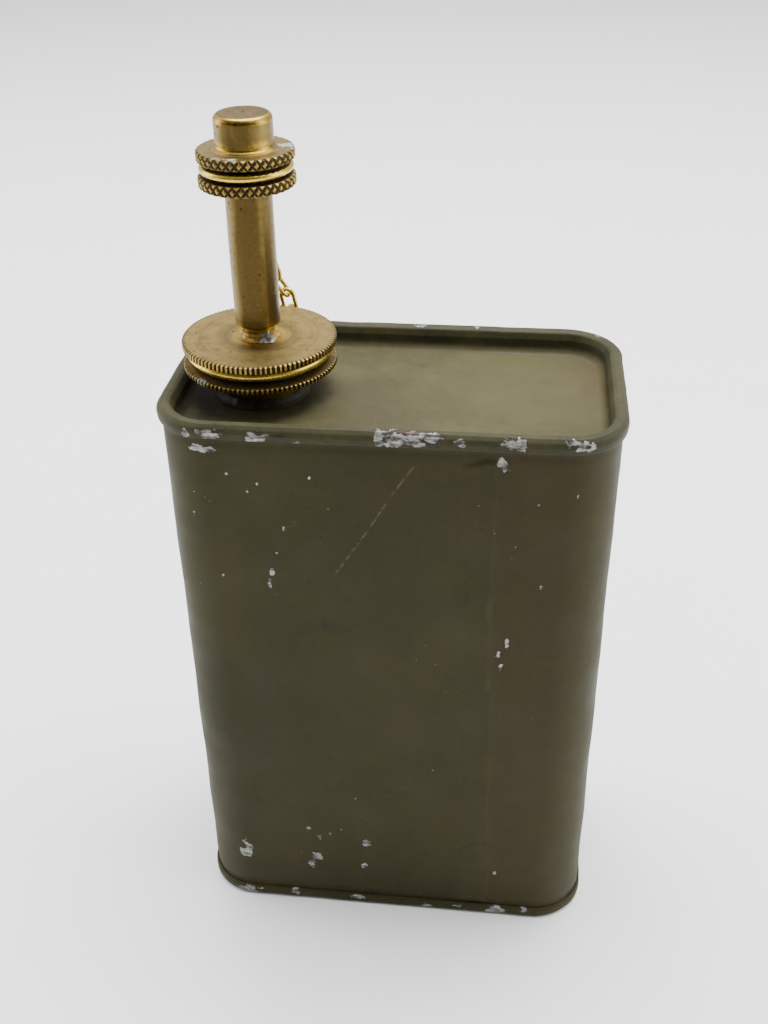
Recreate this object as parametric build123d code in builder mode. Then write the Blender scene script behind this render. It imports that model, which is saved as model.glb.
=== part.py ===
from build123d import *
import math
import os

os.makedirs("parts", exist_ok=True)

# ---------------------------------------------------------------- dimensions
# All in millimetres. Origin: centre of the foot, +X along the width,
# -Y the face with the side seam, +Z up.

# tin
RIM_W, RIM_D = 76.0, 42.0          # rolled rim, outside
RIM_R = 10.0                       # its corner radius
BODY_W, BODY_D = 74.4, 40.4        # shell, outside
BODY_R = 9.2
SHEET = 0.5                        # tinplate with its paint
SLIP = 0.05                        # gap between shell and the rolled seams
TIN_H = 109.0                      # top of the rim
RIM_H = 2.6                        # height of the rim bead outside the shell
RIM_T = 2.8                        # width of the rim seen from above
PANEL_Z = 105.1                    # upper surface of the recessed top
FOOT_W, FOOT_D, FOOT_R = 75.4, 41.4, 9.7
FOOT_H = 2.6
FOOT_T = 2.5
FOOT_RECESS = 2.2                  # panel height above the floor
SHELL_Z0, SHELL_Z1 = 0.9, 107.7
LAP_X0, LAP_X1, LAP_T = 13.0, 18.6, 0.32   # lapped side seam on the front

# filler
AX, AY = -22.9, -0.14              # filler axis
NECK_R, NECK_BORE = 7.0, 5.40
NECK_Z0, NECK_Z1 = 103.2, 109.6
SPIGOT_R = 5.32
SPIGOT_Z0 = 102.9
SPIGOT_BORE = 3.2
CAP_R = 12.85
CAP_CORE = 10.2
CAP_Z = (110.3, 111.2, 113.8, 115.1)       # flange, groove, flange
CAP_TEETH = 100
CAP_TOOTH = 0.28
WASHER_T = CAP_Z[0] - NECK_Z1

# spout
WAIST_R, WAIST_Z1 = 2.6, 117.5
STEM_R, STEM_Z1 = 3.74, 140.35
NOZZLE_R, NOZZLE_Z1 = 3.0, 145.9
TIP_R, TIP_Z1 = 1.9, 146.6
OIL_BORE = 1.1
TENON_Z0 = 112.6

# spout cap
SCAP_R, SCAP_CORE = 7.64, 5.95
SCAP_Z = (140.45, 142.15, 144.46, 146.1)
KNOB_R, KNOB_Z1 = 4.55, 151.4
SCAP_BORE = 3.07
SCAP_ROOF = 147.2

# keeper rings and chain
WIRE_R = 0.80
RING_R, RING_Z = 11.35, 112.9
SWIRE_R = 0.62
SRING_R, SRING_Z = 6.75, 143.25
EYE_R, EYE_WIRE = 1.15, 0.45
LOW_EYE = (2.6984, 14.4101)             # eye centres, from the filler axis
TOP_EYE = (-2.8801, 8.9967)
LINK_P, LINK_PLAY, LINK_WIRE = 3.2, 0.45, 0.36
LINK_HALF_W = 0.80 + LINK_WIRE     # half width of a link's centre line

# chain pivots from the spout ring's eye to the filler ring's eye, each from
# the filler axis, with the normal of the link that starts there
CHAIN = [
    ((-2.8801, 8.9967, 142.7750), (-0.1777, 0.3620, -0.9151), (-0.2552, 0.8811, 0.3981)),
    ((-3.4488, 10.1551, 139.8468), (-0.2876, 0.5083, -0.8117), (0.9379, 0.3212, -0.1312)),
    ((-4.3692, 11.7817, 137.2494), (-0.3658, 0.5672, -0.7379), (-0.1455, 0.7482, 0.6473)),
    ((-5.5396, 13.5967, 134.8882), (-0.2546, 0.5708, -0.7806), (0.9563, 0.2684, -0.1157)),
    ((-6.3543, 15.4232, 132.3902), (0.0412, 0.4791, -0.8768), (-0.1470, 0.8709, 0.4690)),
    ((-6.2225, 16.9563, 129.5846), (0.4025, 0.2499, -0.8807), (0.9124, -0.0321, 0.4079)),
    ((-4.9345, 17.7558, 126.7666), (0.5856, -0.0495, -0.8091), (0.0848, 0.9964, 0.0005)),
    ((-3.0606, 17.5976, 124.1776), (0.5238, -0.2998, -0.7973), (0.8169, -0.0883, 0.5699)),
    ((-1.3844, 16.6383, 121.6262), (0.4159, -0.3918, -0.8207), (0.3060, 0.9101, -0.2794)),
    ((-0.0536, 15.3846, 119.0000), (0.6120, -0.2471, -0.7513), (0.7574, -0.0906, 0.6467)),
    ((1.9046, 14.5941, 116.5959), (0.2097, -0.0486, -0.9766), (0.1860, 0.9825, -0.0090)),
]

# ---------------------------------------------------------------------- tin
with BuildPart() as body_shell:
    with BuildSketch(Plane.XY.offset(SHELL_Z0)):
        RectangleRounded(BODY_W, BODY_D, BODY_R)
        RectangleRounded(BODY_W - 2 * SHEET, BODY_D - 2 * SHEET, BODY_R - SHEET, mode=Mode.SUBTRACT)
    extrude(amount=SHELL_Z1 - SHELL_Z0)
    # outer lap of the side seam: a second thickness of sheet on the front
    with BuildSketch(Plane.XY.offset(FOOT_H + 0.2)):
        with Locations(((LAP_X0 + LAP_X1) / 2, -BODY_D / 2 + 0.1 - LAP_T / 2)):
            Rectangle(LAP_X1 - LAP_X0, LAP_T + 0.2)
    extrude(amount=TIN_H - RIM_H - 0.2 - FOOT_H - 0.2)
    lap_edges = body_shell.edges().filter_by(Axis.Z).filter_by(
        lambda e: abs(e.center().Y + BODY_D / 2 + LAP_T) < 0.02)
    chamfer(lap_edges, 0.2)
body_shell.part.label = "body_shell"
export_step(body_shell.part, "parts/body_shell.step")

with BuildPart() as top_plate:
    # panel and the wall that stands inside the shell
    with BuildSketch(Plane.XY.offset(PANEL_Z - SHEET)):
        RectangleRounded(BODY_W - 2 * SHEET - 2 * SLIP, BODY_D - 2 * SHEET - 2 * SLIP, BODY_R - SHEET - SLIP)
    extrude(amount=TIN_H - PANEL_Z + SHEET)
    # the roll over the shell's edge
    with BuildSketch(Plane.XY.offset(TIN_H - RIM_H)):
        RectangleRounded(RIM_W, RIM_D, RIM_R)
    extrude(amount=RIM_H)
    with BuildSketch(Plane.XY.offset(TIN_H - RIM_H)):
        RectangleRounded(BODY_W + 2 * SLIP, BODY_D + 2 * SLIP, BODY_R + SLIP)
        RectangleRounded(BODY_W - 2 * SHEET - 2 * SLIP, BODY_D - 2 * SHEET - 2 * SLIP,
                         BODY_R - SHEET - SLIP, mode=Mode.SUBTRACT)
    extrude(amount=SHELL_Z1 + 0.05 - (TIN_H - RIM_H), mode=Mode.SUBTRACT)
    # recess
    with BuildSketch(Plane.XY.offset(PANEL_Z)):
        RectangleRounded(RIM_W - 2 * RIM_T, RIM_D - 2 * RIM_T, RIM_R - RIM_T)
    extrude(amount=TIN_H - PANEL_Z, mode=Mode.SUBTRACT)
    fillet(top_plate.edges().filter_by(GeomType.CIRCLE, reverse=True).group_by(Axis.Z)[-1]
           + top_plate.edges().filter_by(GeomType.CIRCLE).group_by(Axis.Z)[-1], 1.1)
    with Locations((AX, AY, PANEL_Z)):
        Hole(NECK_R + SLIP)
top_plate.part.label = "top_plate"
export_step(top_plate.part, "parts/top_plate.step")

with BuildPart() as bottom_plate:
    with BuildSketch(Plane.XY):
        RectangleRounded(FOOT_W, FOOT_D, FOOT_R)
    extrude(amount=FOOT_H)
    with BuildSketch(Plane.XY):
        RectangleRounded(BODY_W - 2 * SHEET - 2 * SLIP, BODY_D - 2 * SHEET - 2 * SLIP, BODY_R - SHEET - SLIP)
    extrude(amount=FOOT_H + 0.6)
    # channel that takes the shell's lower edge
    with BuildSketch(Plane.XY.offset(SHELL_Z0 - 0.05)):
        RectangleRounded(BODY_W + 2 * SLIP, BODY_D + 2 * SLIP, BODY_R + SLIP)
        RectangleRounded(BODY_W - 2 * SHEET - 2 * SLIP, BODY_D - 2 * SHEET - 2 * SLIP,
                         BODY_R - SHEET - SLIP, mode=Mode.SUBTRACT)
    extrude(amount=FOOT_H, mode=Mode.SUBTRACT)
    # recess below the panel and hollow above it
    with BuildSketch(Plane.XY):
        RectangleRounded(FOOT_W - 2 * FOOT_T, FOOT_D - 2 * FOOT_T, FOOT_R - FOOT_T)
    extrude(amount=FOOT_RECESS, mode=Mode.SUBTRACT)
    with BuildSketch(Plane.XY.offset(FOOT_RECESS + SHEET)):
        RectangleRounded(FOOT_W - 2 * FOOT_T, FOOT_D - 2 * FOOT_T, FOOT_R - FOOT_T)
    extrude(amount=2.0, mode=Mode.SUBTRACT)
    foot_edges = bottom_plate.edges().group_by(Axis.Z)[0]
    fillet(foot_edges, 0.5)
bottom_plate.part.label = "bottom_plate"
export_step(bottom_plate.part, "parts/bottom_plate.step")

# ------------------------------------------------------------------- filler
AXIS_XZ = Plane(origin=(AX, AY, 0), x_dir=(1, 0, 0), z_dir=(0, -1, 0))   # radial half plane
FILLER_AXIS = Axis((AX, AY, 0), (0, 0, 1))

with BuildPart() as filler_neck:
    with BuildSketch(AXIS_XZ):
        with BuildLine():
            Polyline((NECK_BORE, NECK_Z0 + 0.3), (NECK_BORE + 0.3, NECK_Z0), (NECK_R, NECK_Z0),
                     (NECK_R, NECK_Z1 - 0.3), (NECK_R - 0.3, NECK_Z1), (NECK_BORE + 0.4, NECK_Z1),
                     (NECK_BORE, NECK_Z1 - 0.4), close=True)
        make_face()
    revolve(axis=FILLER_AXIS)
filler_neck.part.label = "filler_neck"
export_step(filler_neck.part, "parts/filler_neck.step")

with BuildPart() as neck_solder:
    with BuildSketch(AXIS_XZ):
        with BuildLine():
            l1 = Polyline((NECK_R + 0.02, PANEL_Z + 1.3), (NECK_R + 0.02, PANEL_Z + 0.02), (NECK_R + 1.6, PANEL_Z + 0.02))
            ThreePointArc((NECK_R + 1.6, PANEL_Z + 0.02), (NECK_R + 0.52, PANEL_Z + 0.45), (NECK_R + 0.02, PANEL_Z + 1.3))
        make_face()
    revolve(axis=FILLER_AXIS)
neck_solder.part.label = "neck_solder"
export_step(neck_solder.part, "parts/neck_solder.step")

with BuildPart() as filler_washer:
    with BuildSketch(Plane.XY.offset(NECK_Z1 + 0.01)):
        with Locations((AX, AY)):
            Circle(NECK_R - 0.1)
            Circle(SPIGOT_R + 0.1, mode=Mode.SUBTRACT)
    extrude(amount=WASHER_T - 0.03)
filler_washer.part.label = "filler_washer"
export_step(filler_washer.part, "parts/filler_washer.step")

tooth_pts = []
for k in range(CAP_TEETH):
    a0 = 2 * math.pi * k / CAP_TEETH
    a1 = 2 * math.pi * (k + 0.5) / CAP_TEETH
    tooth_pts.append((AX + CAP_R * math.cos(a0), AY + CAP_R * math.sin(a0)))
    tooth_pts.append((AX + (CAP_R - CAP_TOOTH) * math.cos(a1), AY + (CAP_R - CAP_TOOTH) * math.sin(a1)))

with BuildPart() as filler_cap:
    # straight-knurled flanges
    for z0, z1 in ((CAP_Z[0], CAP_Z[1]), (CAP_Z[2], CAP_Z[3])):
        with BuildSketch(Plane.XY.offset(z0)):
            Polygon(*tooth_pts, align=None)
        extrude(amount=z1 - z0)
    # core of the bobbin and the spigot
    with BuildSketch(Plane.XY.offset(CAP_Z[1] - 0.1)):
        with Locations((AX, AY)):
            Circle(CAP_CORE)
    extrude(amount=CAP_Z[2] - CAP_Z[1] + 0.2)
    with BuildSketch(Plane.XY.offset(SPIGOT_Z0)):
        with Locations((AX, AY)):
            Circle(SPIGOT_R)
    extrude(amount=CAP_Z[0] + 0.1 - SPIGOT_Z0)
    # hollow spigot, oil way and the seat of the spout's tenon
    with BuildSketch(Plane.XY.offset(SPIGOT_Z0)):
        with Locations((AX, AY)):
            Circle(SPIGOT_BORE)
    extrude(amount=7.6, mode=Mode.SUBTRACT)
    with BuildSketch(Plane.XY.offset(SPIGOT_Z0)):
        with Locations((AX, AY)):
            Circle(OIL_BORE)
    extrude(amount=13.0, mode=Mode.SUBTRACT)
    with BuildSketch(Plane.XY.offset(TENON_Z0 - 0.02)):
        with Locations((AX, AY)):
            Circle(WAIST_R + 0.02)
    extrude(amount=4.0, mode=Mode.SUBTRACT)
filler_cap.part.label = "filler_cap"
export_step(filler_cap.part, "parts/filler_cap.step")

# -------------------------------------------------------------------- spout
with BuildPart() as spout_tube:
    with BuildSketch(AXIS_XZ):
        with BuildLine():
            Polyline((OIL_BORE, TENON_Z0), (WAIST_R, TENON_Z0), (WAIST_R, WAIST_Z1 - 0.3),
                     (STEM_R - 0.15, WAIST_Z1), (STEM_R, WAIST_Z1 + 0.2), (STEM_R, STEM_Z1 - 0.15),
                     (STEM_R - 0.15, STEM_Z1), (NOZZLE_R, STEM_Z1), (NOZZLE_R, NOZZLE_Z1 - 0.4),
                     (NOZZLE_R - 0.4, NOZZLE_Z1), (TIP_R, NOZZLE_Z1), (TIP_R - 0.3, TIP_Z1),
                     (OIL_BORE, TIP_Z1), close=True)
        make_face()
    revolve(axis=FILLER_AXIS)
spout_tube.part.label = "spout_tube"
export_step(spout_tube.part, "parts/spout_tube.step")

with BuildPart() as spout_solder:
    with BuildSketch(AXIS_XZ):
        with BuildLine():
            Polyline((WAIST_R + 0.02, CAP_Z[3] + 1.5), (WAIST_R + 0.02, CAP_Z[3] + 0.02), (WAIST_R + 1.5, CAP_Z[3] + 0.02))
            ThreePointArc((WAIST_R + 1.5, CAP_Z[3] + 0.02), (WAIST_R + 0.6, CAP_Z[3] + 0.55), (WAIST_R + 0.02, CAP_Z[3] + 1.5))
        make_face()
    revolve(axis=FILLER_AXIS)
spout_solder.part.label = "spout_solder"
export_step(spout_solder.part, "parts/spout_solder.step")

with BuildPart() as spout_washer:
    with BuildSketch(Plane.XY.offset(TIP_Z1 + 0.02)):
        with Locations((AX, AY)):
            Circle(SCAP_BORE - 0.1)
    extrude(amount=SCAP_ROOF - TIP_Z1 - 0.04)
spout_washer.part.label = "spout_washer"
export_step(spout_washer.part, "parts/spout_washer.step")

with BuildPart() as spout_cap:
    with BuildSketch(AXIS_XZ):
        with BuildLine():
            Polyline((0, SCAP_ROOF), (SCAP_BORE, SCAP_ROOF), (SCAP_BORE, SCAP_Z[0] + 0.4),
                     (SCAP_BORE + 0.5, SCAP_Z[0]), (SCAP_R - 0.25, SCAP_Z[0]), (SCAP_R, SCAP_Z[0] + 0.2),
                     (SCAP_R, SCAP_Z[1] - 0.2), (SCAP_R - 0.25, SCAP_Z[1]), (SCAP_CORE, SCAP_Z[1]),
                     (SCAP_CORE, SCAP_Z[2]), (SCAP_R - 0.25, SCAP_Z[2]), (SCAP_R, SCAP_Z[2] + 0.2),
                     (SCAP_R, SCAP_Z[3] - 0.2), (SCAP_R - 0.25, SCAP_Z[3]), (KNOB_R + 0.6, SCAP_Z[3]))
            ThreePointArc((KNOB_R + 0.6, SCAP_Z[3]), (KNOB_R + 0.18, SCAP_Z[3] + 0.18), (KNOB_R, SCAP_Z[3] + 0.6))
            Line((KNOB_R, SCAP_Z[3] + 0.6), (KNOB_R, KNOB_Z1 - 1.0))
            ThreePointArc((KNOB_R, KNOB_Z1 - 1.0), (KNOB_R - 0.29, KNOB_Z1 - 0.29), (KNOB_R - 1.0, KNOB_Z1))
            Polyline((KNOB_R - 1.0, KNOB_Z1), (0, KNOB_Z1), (0, SCAP_ROOF))
        make_face()
    revolve(axis=FILLER_AXIS)
spout_cap.part.label = "spout_cap"
export_step(spout_cap.part, "parts/spout_cap.step")


# --------------------------------------------------------- rings and chain
def eye_plane(eye, z, distance):
    """Plane on the eye's bearing, its normal along the bearing, at a distance from the axis."""
    r = math.hypot(eye[0], eye[1])
    c, s = eye[0] / r, eye[1] / r
    return Plane(origin=(AX + c * distance, AY + s * distance, z), x_dir=(-s, c, 0), z_dir=(c, s, 0))


def eye_section(eye, z):
    """Plane across the eye's wire at its outermost point, and the axis the wire turns about."""
    r = math.hypot(eye[0], eye[1])
    c, s = eye[0] / r, eye[1] / r
    section = Plane(origin=(AX + c * (r + EYE_R), AY + s * (r + EYE_R), z), x_dir=(c, s, 0), z_dir=(0, 0, 1))
    turn = Axis((AX + eye[0], AY + eye[1], z), (-s, c, 0))
    return section, turn


with BuildPart() as filler_ring:
    with BuildSketch(AXIS_XZ):
        with Locations((RING_R, RING_Z)):
            Circle(WIRE_R)
    revolve(axis=FILLER_AXIS)
    low_r = math.hypot(*LOW_EYE)
    with BuildSketch(eye_plane(LOW_EYE, RING_Z, RING_R)):
        Circle(0.5)
    extrude(amount=low_r - EYE_R - RING_R)
    sec, turn = eye_section(LOW_EYE, RING_Z)
    with BuildSketch(sec):
        Circle(EYE_WIRE)
    revolve(axis=turn)
filler_ring.part.label = "filler_ring"
export_step(filler_ring.part, "parts/filler_ring.step")

with BuildPart() as spout_ring:
    with BuildSketch(AXIS_XZ):
        with Locations((SRING_R, SRING_Z)):
            Circle(SWIRE_R)
    revolve(axis=FILLER_AXIS)
    top_r = math.hypot(*TOP_EYE)
    with BuildSketch(eye_plane(TOP_EYE, SRING_Z, SRING_R)):
        Circle(0.5)
    extrude(amount=top_r - EYE_R - SRING_R)
    sec, turn = eye_section(TOP_EYE, SRING_Z)
    with BuildSketch(sec):
        Circle(EYE_WIRE)
    revolve(axis=turn)
spout_ring.part.label = "spout_ring"
export_step(spout_ring.part, "parts/spout_ring.step")

# oval wire links, each on the plane through its pivot
X_NEAR = -LINK_PLAY / 2 - LINK_WIRE + LINK_HALF_W      # centres of the two end bends
X_FAR = LINK_P + LINK_PLAY / 2 + LINK_WIRE - LINK_HALF_W
for i, (pivot, direction, normal) in enumerate(CHAIN):
    link_plane = Plane(origin=(AX + pivot[0], AY + pivot[1], pivot[2]), x_dir=direction, z_dir=normal)
    with BuildPart() as chain_link:
        with BuildLine(link_plane) as loop:
            Line((X_NEAR, LINK_HALF_W), (X_FAR, LINK_HALF_W))
            ThreePointArc((X_FAR, LINK_HALF_W), (X_FAR + LINK_HALF_W, 0), (X_FAR, -LINK_HALF_W))
            Line((X_FAR, -LINK_HALF_W), (X_NEAR, -LINK_HALF_W))
            ThreePointArc((X_NEAR, -LINK_HALF_W), (X_NEAR - LINK_HALF_W, 0), (X_NEAR, LINK_HALF_W))
        with BuildSketch(Plane(origin=loop.wire() @ 0, z_dir=loop.wire() % 0)):
            Circle(LINK_WIRE)
        sweep(path=loop.wire())
    name = f"chain_link_{i + 1:02d}"
    chain_link.part.label = name
    export_step(chain_link.part, f"parts/{name}.step")
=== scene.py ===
import math

import bpy
import numpy as np
from mathutils import Matrix, Vector
from mathutils.geometry import delaunay_2d_cdt


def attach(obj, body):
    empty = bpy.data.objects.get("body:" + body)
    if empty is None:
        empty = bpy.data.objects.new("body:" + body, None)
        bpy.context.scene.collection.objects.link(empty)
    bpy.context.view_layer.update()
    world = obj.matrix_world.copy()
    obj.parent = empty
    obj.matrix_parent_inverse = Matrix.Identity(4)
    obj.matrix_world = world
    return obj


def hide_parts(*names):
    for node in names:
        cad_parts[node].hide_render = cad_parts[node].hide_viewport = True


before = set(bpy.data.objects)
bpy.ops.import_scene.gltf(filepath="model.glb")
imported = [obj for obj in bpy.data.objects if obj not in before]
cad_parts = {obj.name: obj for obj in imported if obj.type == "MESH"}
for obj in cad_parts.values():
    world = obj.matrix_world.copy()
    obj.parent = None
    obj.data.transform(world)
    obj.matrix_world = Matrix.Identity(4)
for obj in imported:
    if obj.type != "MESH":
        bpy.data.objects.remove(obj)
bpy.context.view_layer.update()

MM = 0.001
TAU = 2 * math.pi
AX, AY = -22.9, -0.14            # filler axis, mm
rng = np.random.default_rng(7)


# ------------------------------------------------------------------ helpers
def sstep(a, b, x):
    t = np.clip((np.asarray(x, float) - a) / (b - a), 0, 1)
    return t * t * (3 - 2 * t)


def waves(seed, n=9, lo=1.0, hi=4.0):
    """A smooth seeded 3-D noise: a sum of sines, about -1 to 1. Wavelengths are lo to hi."""
    r = np.random.default_rng(seed)
    k = r.normal(size=(n, 3)); k /= np.linalg.norm(k, axis=1)[:, None]
    k *= (TAU / np.exp(r.uniform(np.log(lo), np.log(hi), n)))[:, None]
    ph = r.uniform(0, TAU, n)
    def f(p):
        return np.sin(np.asarray(p, float) @ k.T + ph).sum(-1) / math.sqrt(n) / 1.2
    return f


def make(name, verts, faces, body, nodes, mat, attrs=None, smooth=True, sharp=None):
    me = bpy.data.meshes.new(name)
    me.from_pydata((np.asarray(verts) * MM).tolist(), [], [tuple(int(i) for i in f) for f in faces])
    me.update()
    for key, val in (attrs or {}).items():
        a = me.attributes.new(key, "FLOAT", "POINT")
        a.data.foreach_set("value", np.asarray(val, np.float32).ravel())
    if smooth:
        me.shade_smooth()
    if sharp:
        me.set_sharp_from_angle(angle=math.radians(sharp))
    ob = bpy.data.objects.new(name, me)
    bpy.context.scene.collection.objects.link(ob)
    me.materials.append(mat)
    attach(ob, body)
    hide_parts(*nodes)
    return ob


def grid_faces(nu, nv, wrap_u=True, wrap_v=False, base=0, flip=False):
    """Quads of a grid whose vertex (i, j) is base + i * nv + j."""
    iu = np.arange(nu if wrap_u else nu - 1)
    jv = np.arange(nv if wrap_v else nv - 1)
    I, J = np.meshgrid(iu, jv, indexing="ij")
    I2, J2 = (I + 1) % nu, (J + 1) % nv
    q = np.stack([I * nv + J, I2 * nv + J, I2 * nv + J2, I * nv + J2], -1).reshape(-1, 4) + base
    return q[:, ::-1] if flip else q


def rounded(points, radii, n=6):
    """A polyline with its corners rounded. points (r, z); radii one per point."""
    out = []
    P = [np.array(p, float) for p in points]
    for i, p in enumerate(P):
        r = radii[i]
        if r <= 0 or i in (0, len(P) - 1):
            out.append(p); continue
        a, b = P[i - 1] - p, P[i + 1] - p
        la, lb = np.linalg.norm(a), np.linalg.norm(b); a /= la; b /= lb
        c = np.clip(a @ b, -1, 1); half = math.acos(c) / 2
        if half > math.pi / 2 - 1e-3:
            out.append(p); continue
        t = min(r / math.tan(half), la * 0.49, lb * 0.49); rr = t * math.tan(half)
        bis = a + b; bis /= np.linalg.norm(bis); cen = p + bis * rr / math.sin(half)
        s, e = p + a * t - cen, p + b * t - cen
        a0 = math.atan2(s[1], s[0]); a1 = math.atan2(e[1], e[0]); d = (a1 - a0 + math.pi) % TAU - math.pi
        for k in range(n + 1):
            an = a0 + d * k / n
            out.append(cen + rr * np.array([math.cos(an), math.sin(an)]))
    return np.array(out)


def refine(prof, step):
    """More points along straight runs longer than step."""
    out = [prof[0]]
    for a, b in zip(prof[:-1], prof[1:]):
        m = max(1, int(math.ceil(np.linalg.norm(b - a) / step)))
        out += [a + (b - a) * k / m for k in range(1, m + 1)]
    return np.array(out)


def lathe(prof, nseg, disp=None, closed=False, phase=0.0):
    """Vertices and faces of a turned form. disp(theta, r, z) gives a change of radius."""
    th = phase + np.arange(nseg) * TAU / nseg
    T, R = np.meshgrid(th, prof[:, 0], indexing="ij"); Z = np.broadcast_to(prof[:, 1], R.shape).copy()
    if disp is not None:
        dr = disp(T, R, Z)
        if isinstance(dr, tuple):
            R, Z = R + dr[0], Z + dr[1]
        else:
            R = R + dr
    V = np.stack([AX + R * np.cos(T), AY + R * np.sin(T), Z], -1).reshape(-1, 3)
    F = grid_faces(nseg, len(prof), True, closed)
    return V, F, T.ravel(), R.ravel(), Z.ravel()


def weld(V, F, A):
    """Joins vertices that share a place, such as a lathe's pole."""
    key = np.round(V, 5)
    _, idx, inv = np.unique(key, axis=0, return_index=True, return_inverse=True)
    inv = inv.ravel()
    F2 = []
    for f in F:
        g = []
        for i in inv[np.asarray(f)]:
            if not g or (g[-1] != i and g[0] != i):
                g.append(int(i))
        if len(g) > 2:
            F2.append(g)
    return V[idx], F2, {k: np.asarray(v)[idx] for k, v in A.items()}


def tube(path, radius, nsec=14, closed=True, up=(0, 0, 1), scale=None):
    """A wire along a path, with the frame carried along it."""
    P = np.asarray(path, float); n = len(P)
    nxt = np.roll(P, -1, 0); prv = np.roll(P, 1, 0)
    if not closed:
        nxt[-1] = P[-1]; prv[0] = P[0]
    T = nxt - prv; T /= np.linalg.norm(T, axis=1)[:, None]
    N = np.zeros_like(P); u = np.array(up, float); u -= (u @ T[0]) * T[0]; u /= np.linalg.norm(u); N[0] = u
    for i in range(1, n):
        v = np.cross(T[i - 1], T[i]); s = np.linalg.norm(v); w = N[i - 1]
        if s > 1e-9:
            an = math.atan2(s, T[i - 1] @ T[i]); k = v / s
            w = w * math.cos(an) + np.cross(k, w) * math.sin(an) + k * (k @ w) * (1 - math.cos(an))
        w = w - (w @ T[i]) * T[i]; N[i] = w / np.linalg.norm(w)
    if closed:          # spread the closing twist along the loop
        v = np.cross(T[-1], T[0]); s = np.linalg.norm(v); w = N[-1].copy()
        if s > 1e-9:
            an = math.atan2(s, T[-1] @ T[0]); k = v / s
            w = w * math.cos(an) + np.cross(k, w) * math.sin(an) + k * (k @ w) * (1 - math.cos(an))
        off = math.atan2(np.cross(w, N[0]) @ T[0], w @ N[0])
        for i in range(n):
            a = off * i / n
            N[i] = N[i] * math.cos(a) + np.cross(T[i], N[i]) * math.sin(a)
    B = np.cross(T, N)
    ph = np.arange(nsec) * TAU / nsec
    R = np.broadcast_to(np.asarray(radius, float), (n,))[:, None]
    V = P[:, None] + (np.cos(ph)[None, :, None] * N[:, None] + np.sin(ph)[None, :, None] * B[:, None]) * R[..., None]
    V = V.reshape(-1, 3)
    F = grid_faces(n, nsec, closed, True)
    if not closed:
        F = list(map(tuple, F)) + [tuple(range(nsec))[::-1], tuple((n - 1) * nsec + k for k in range(nsec))]
    return V, F


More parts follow.
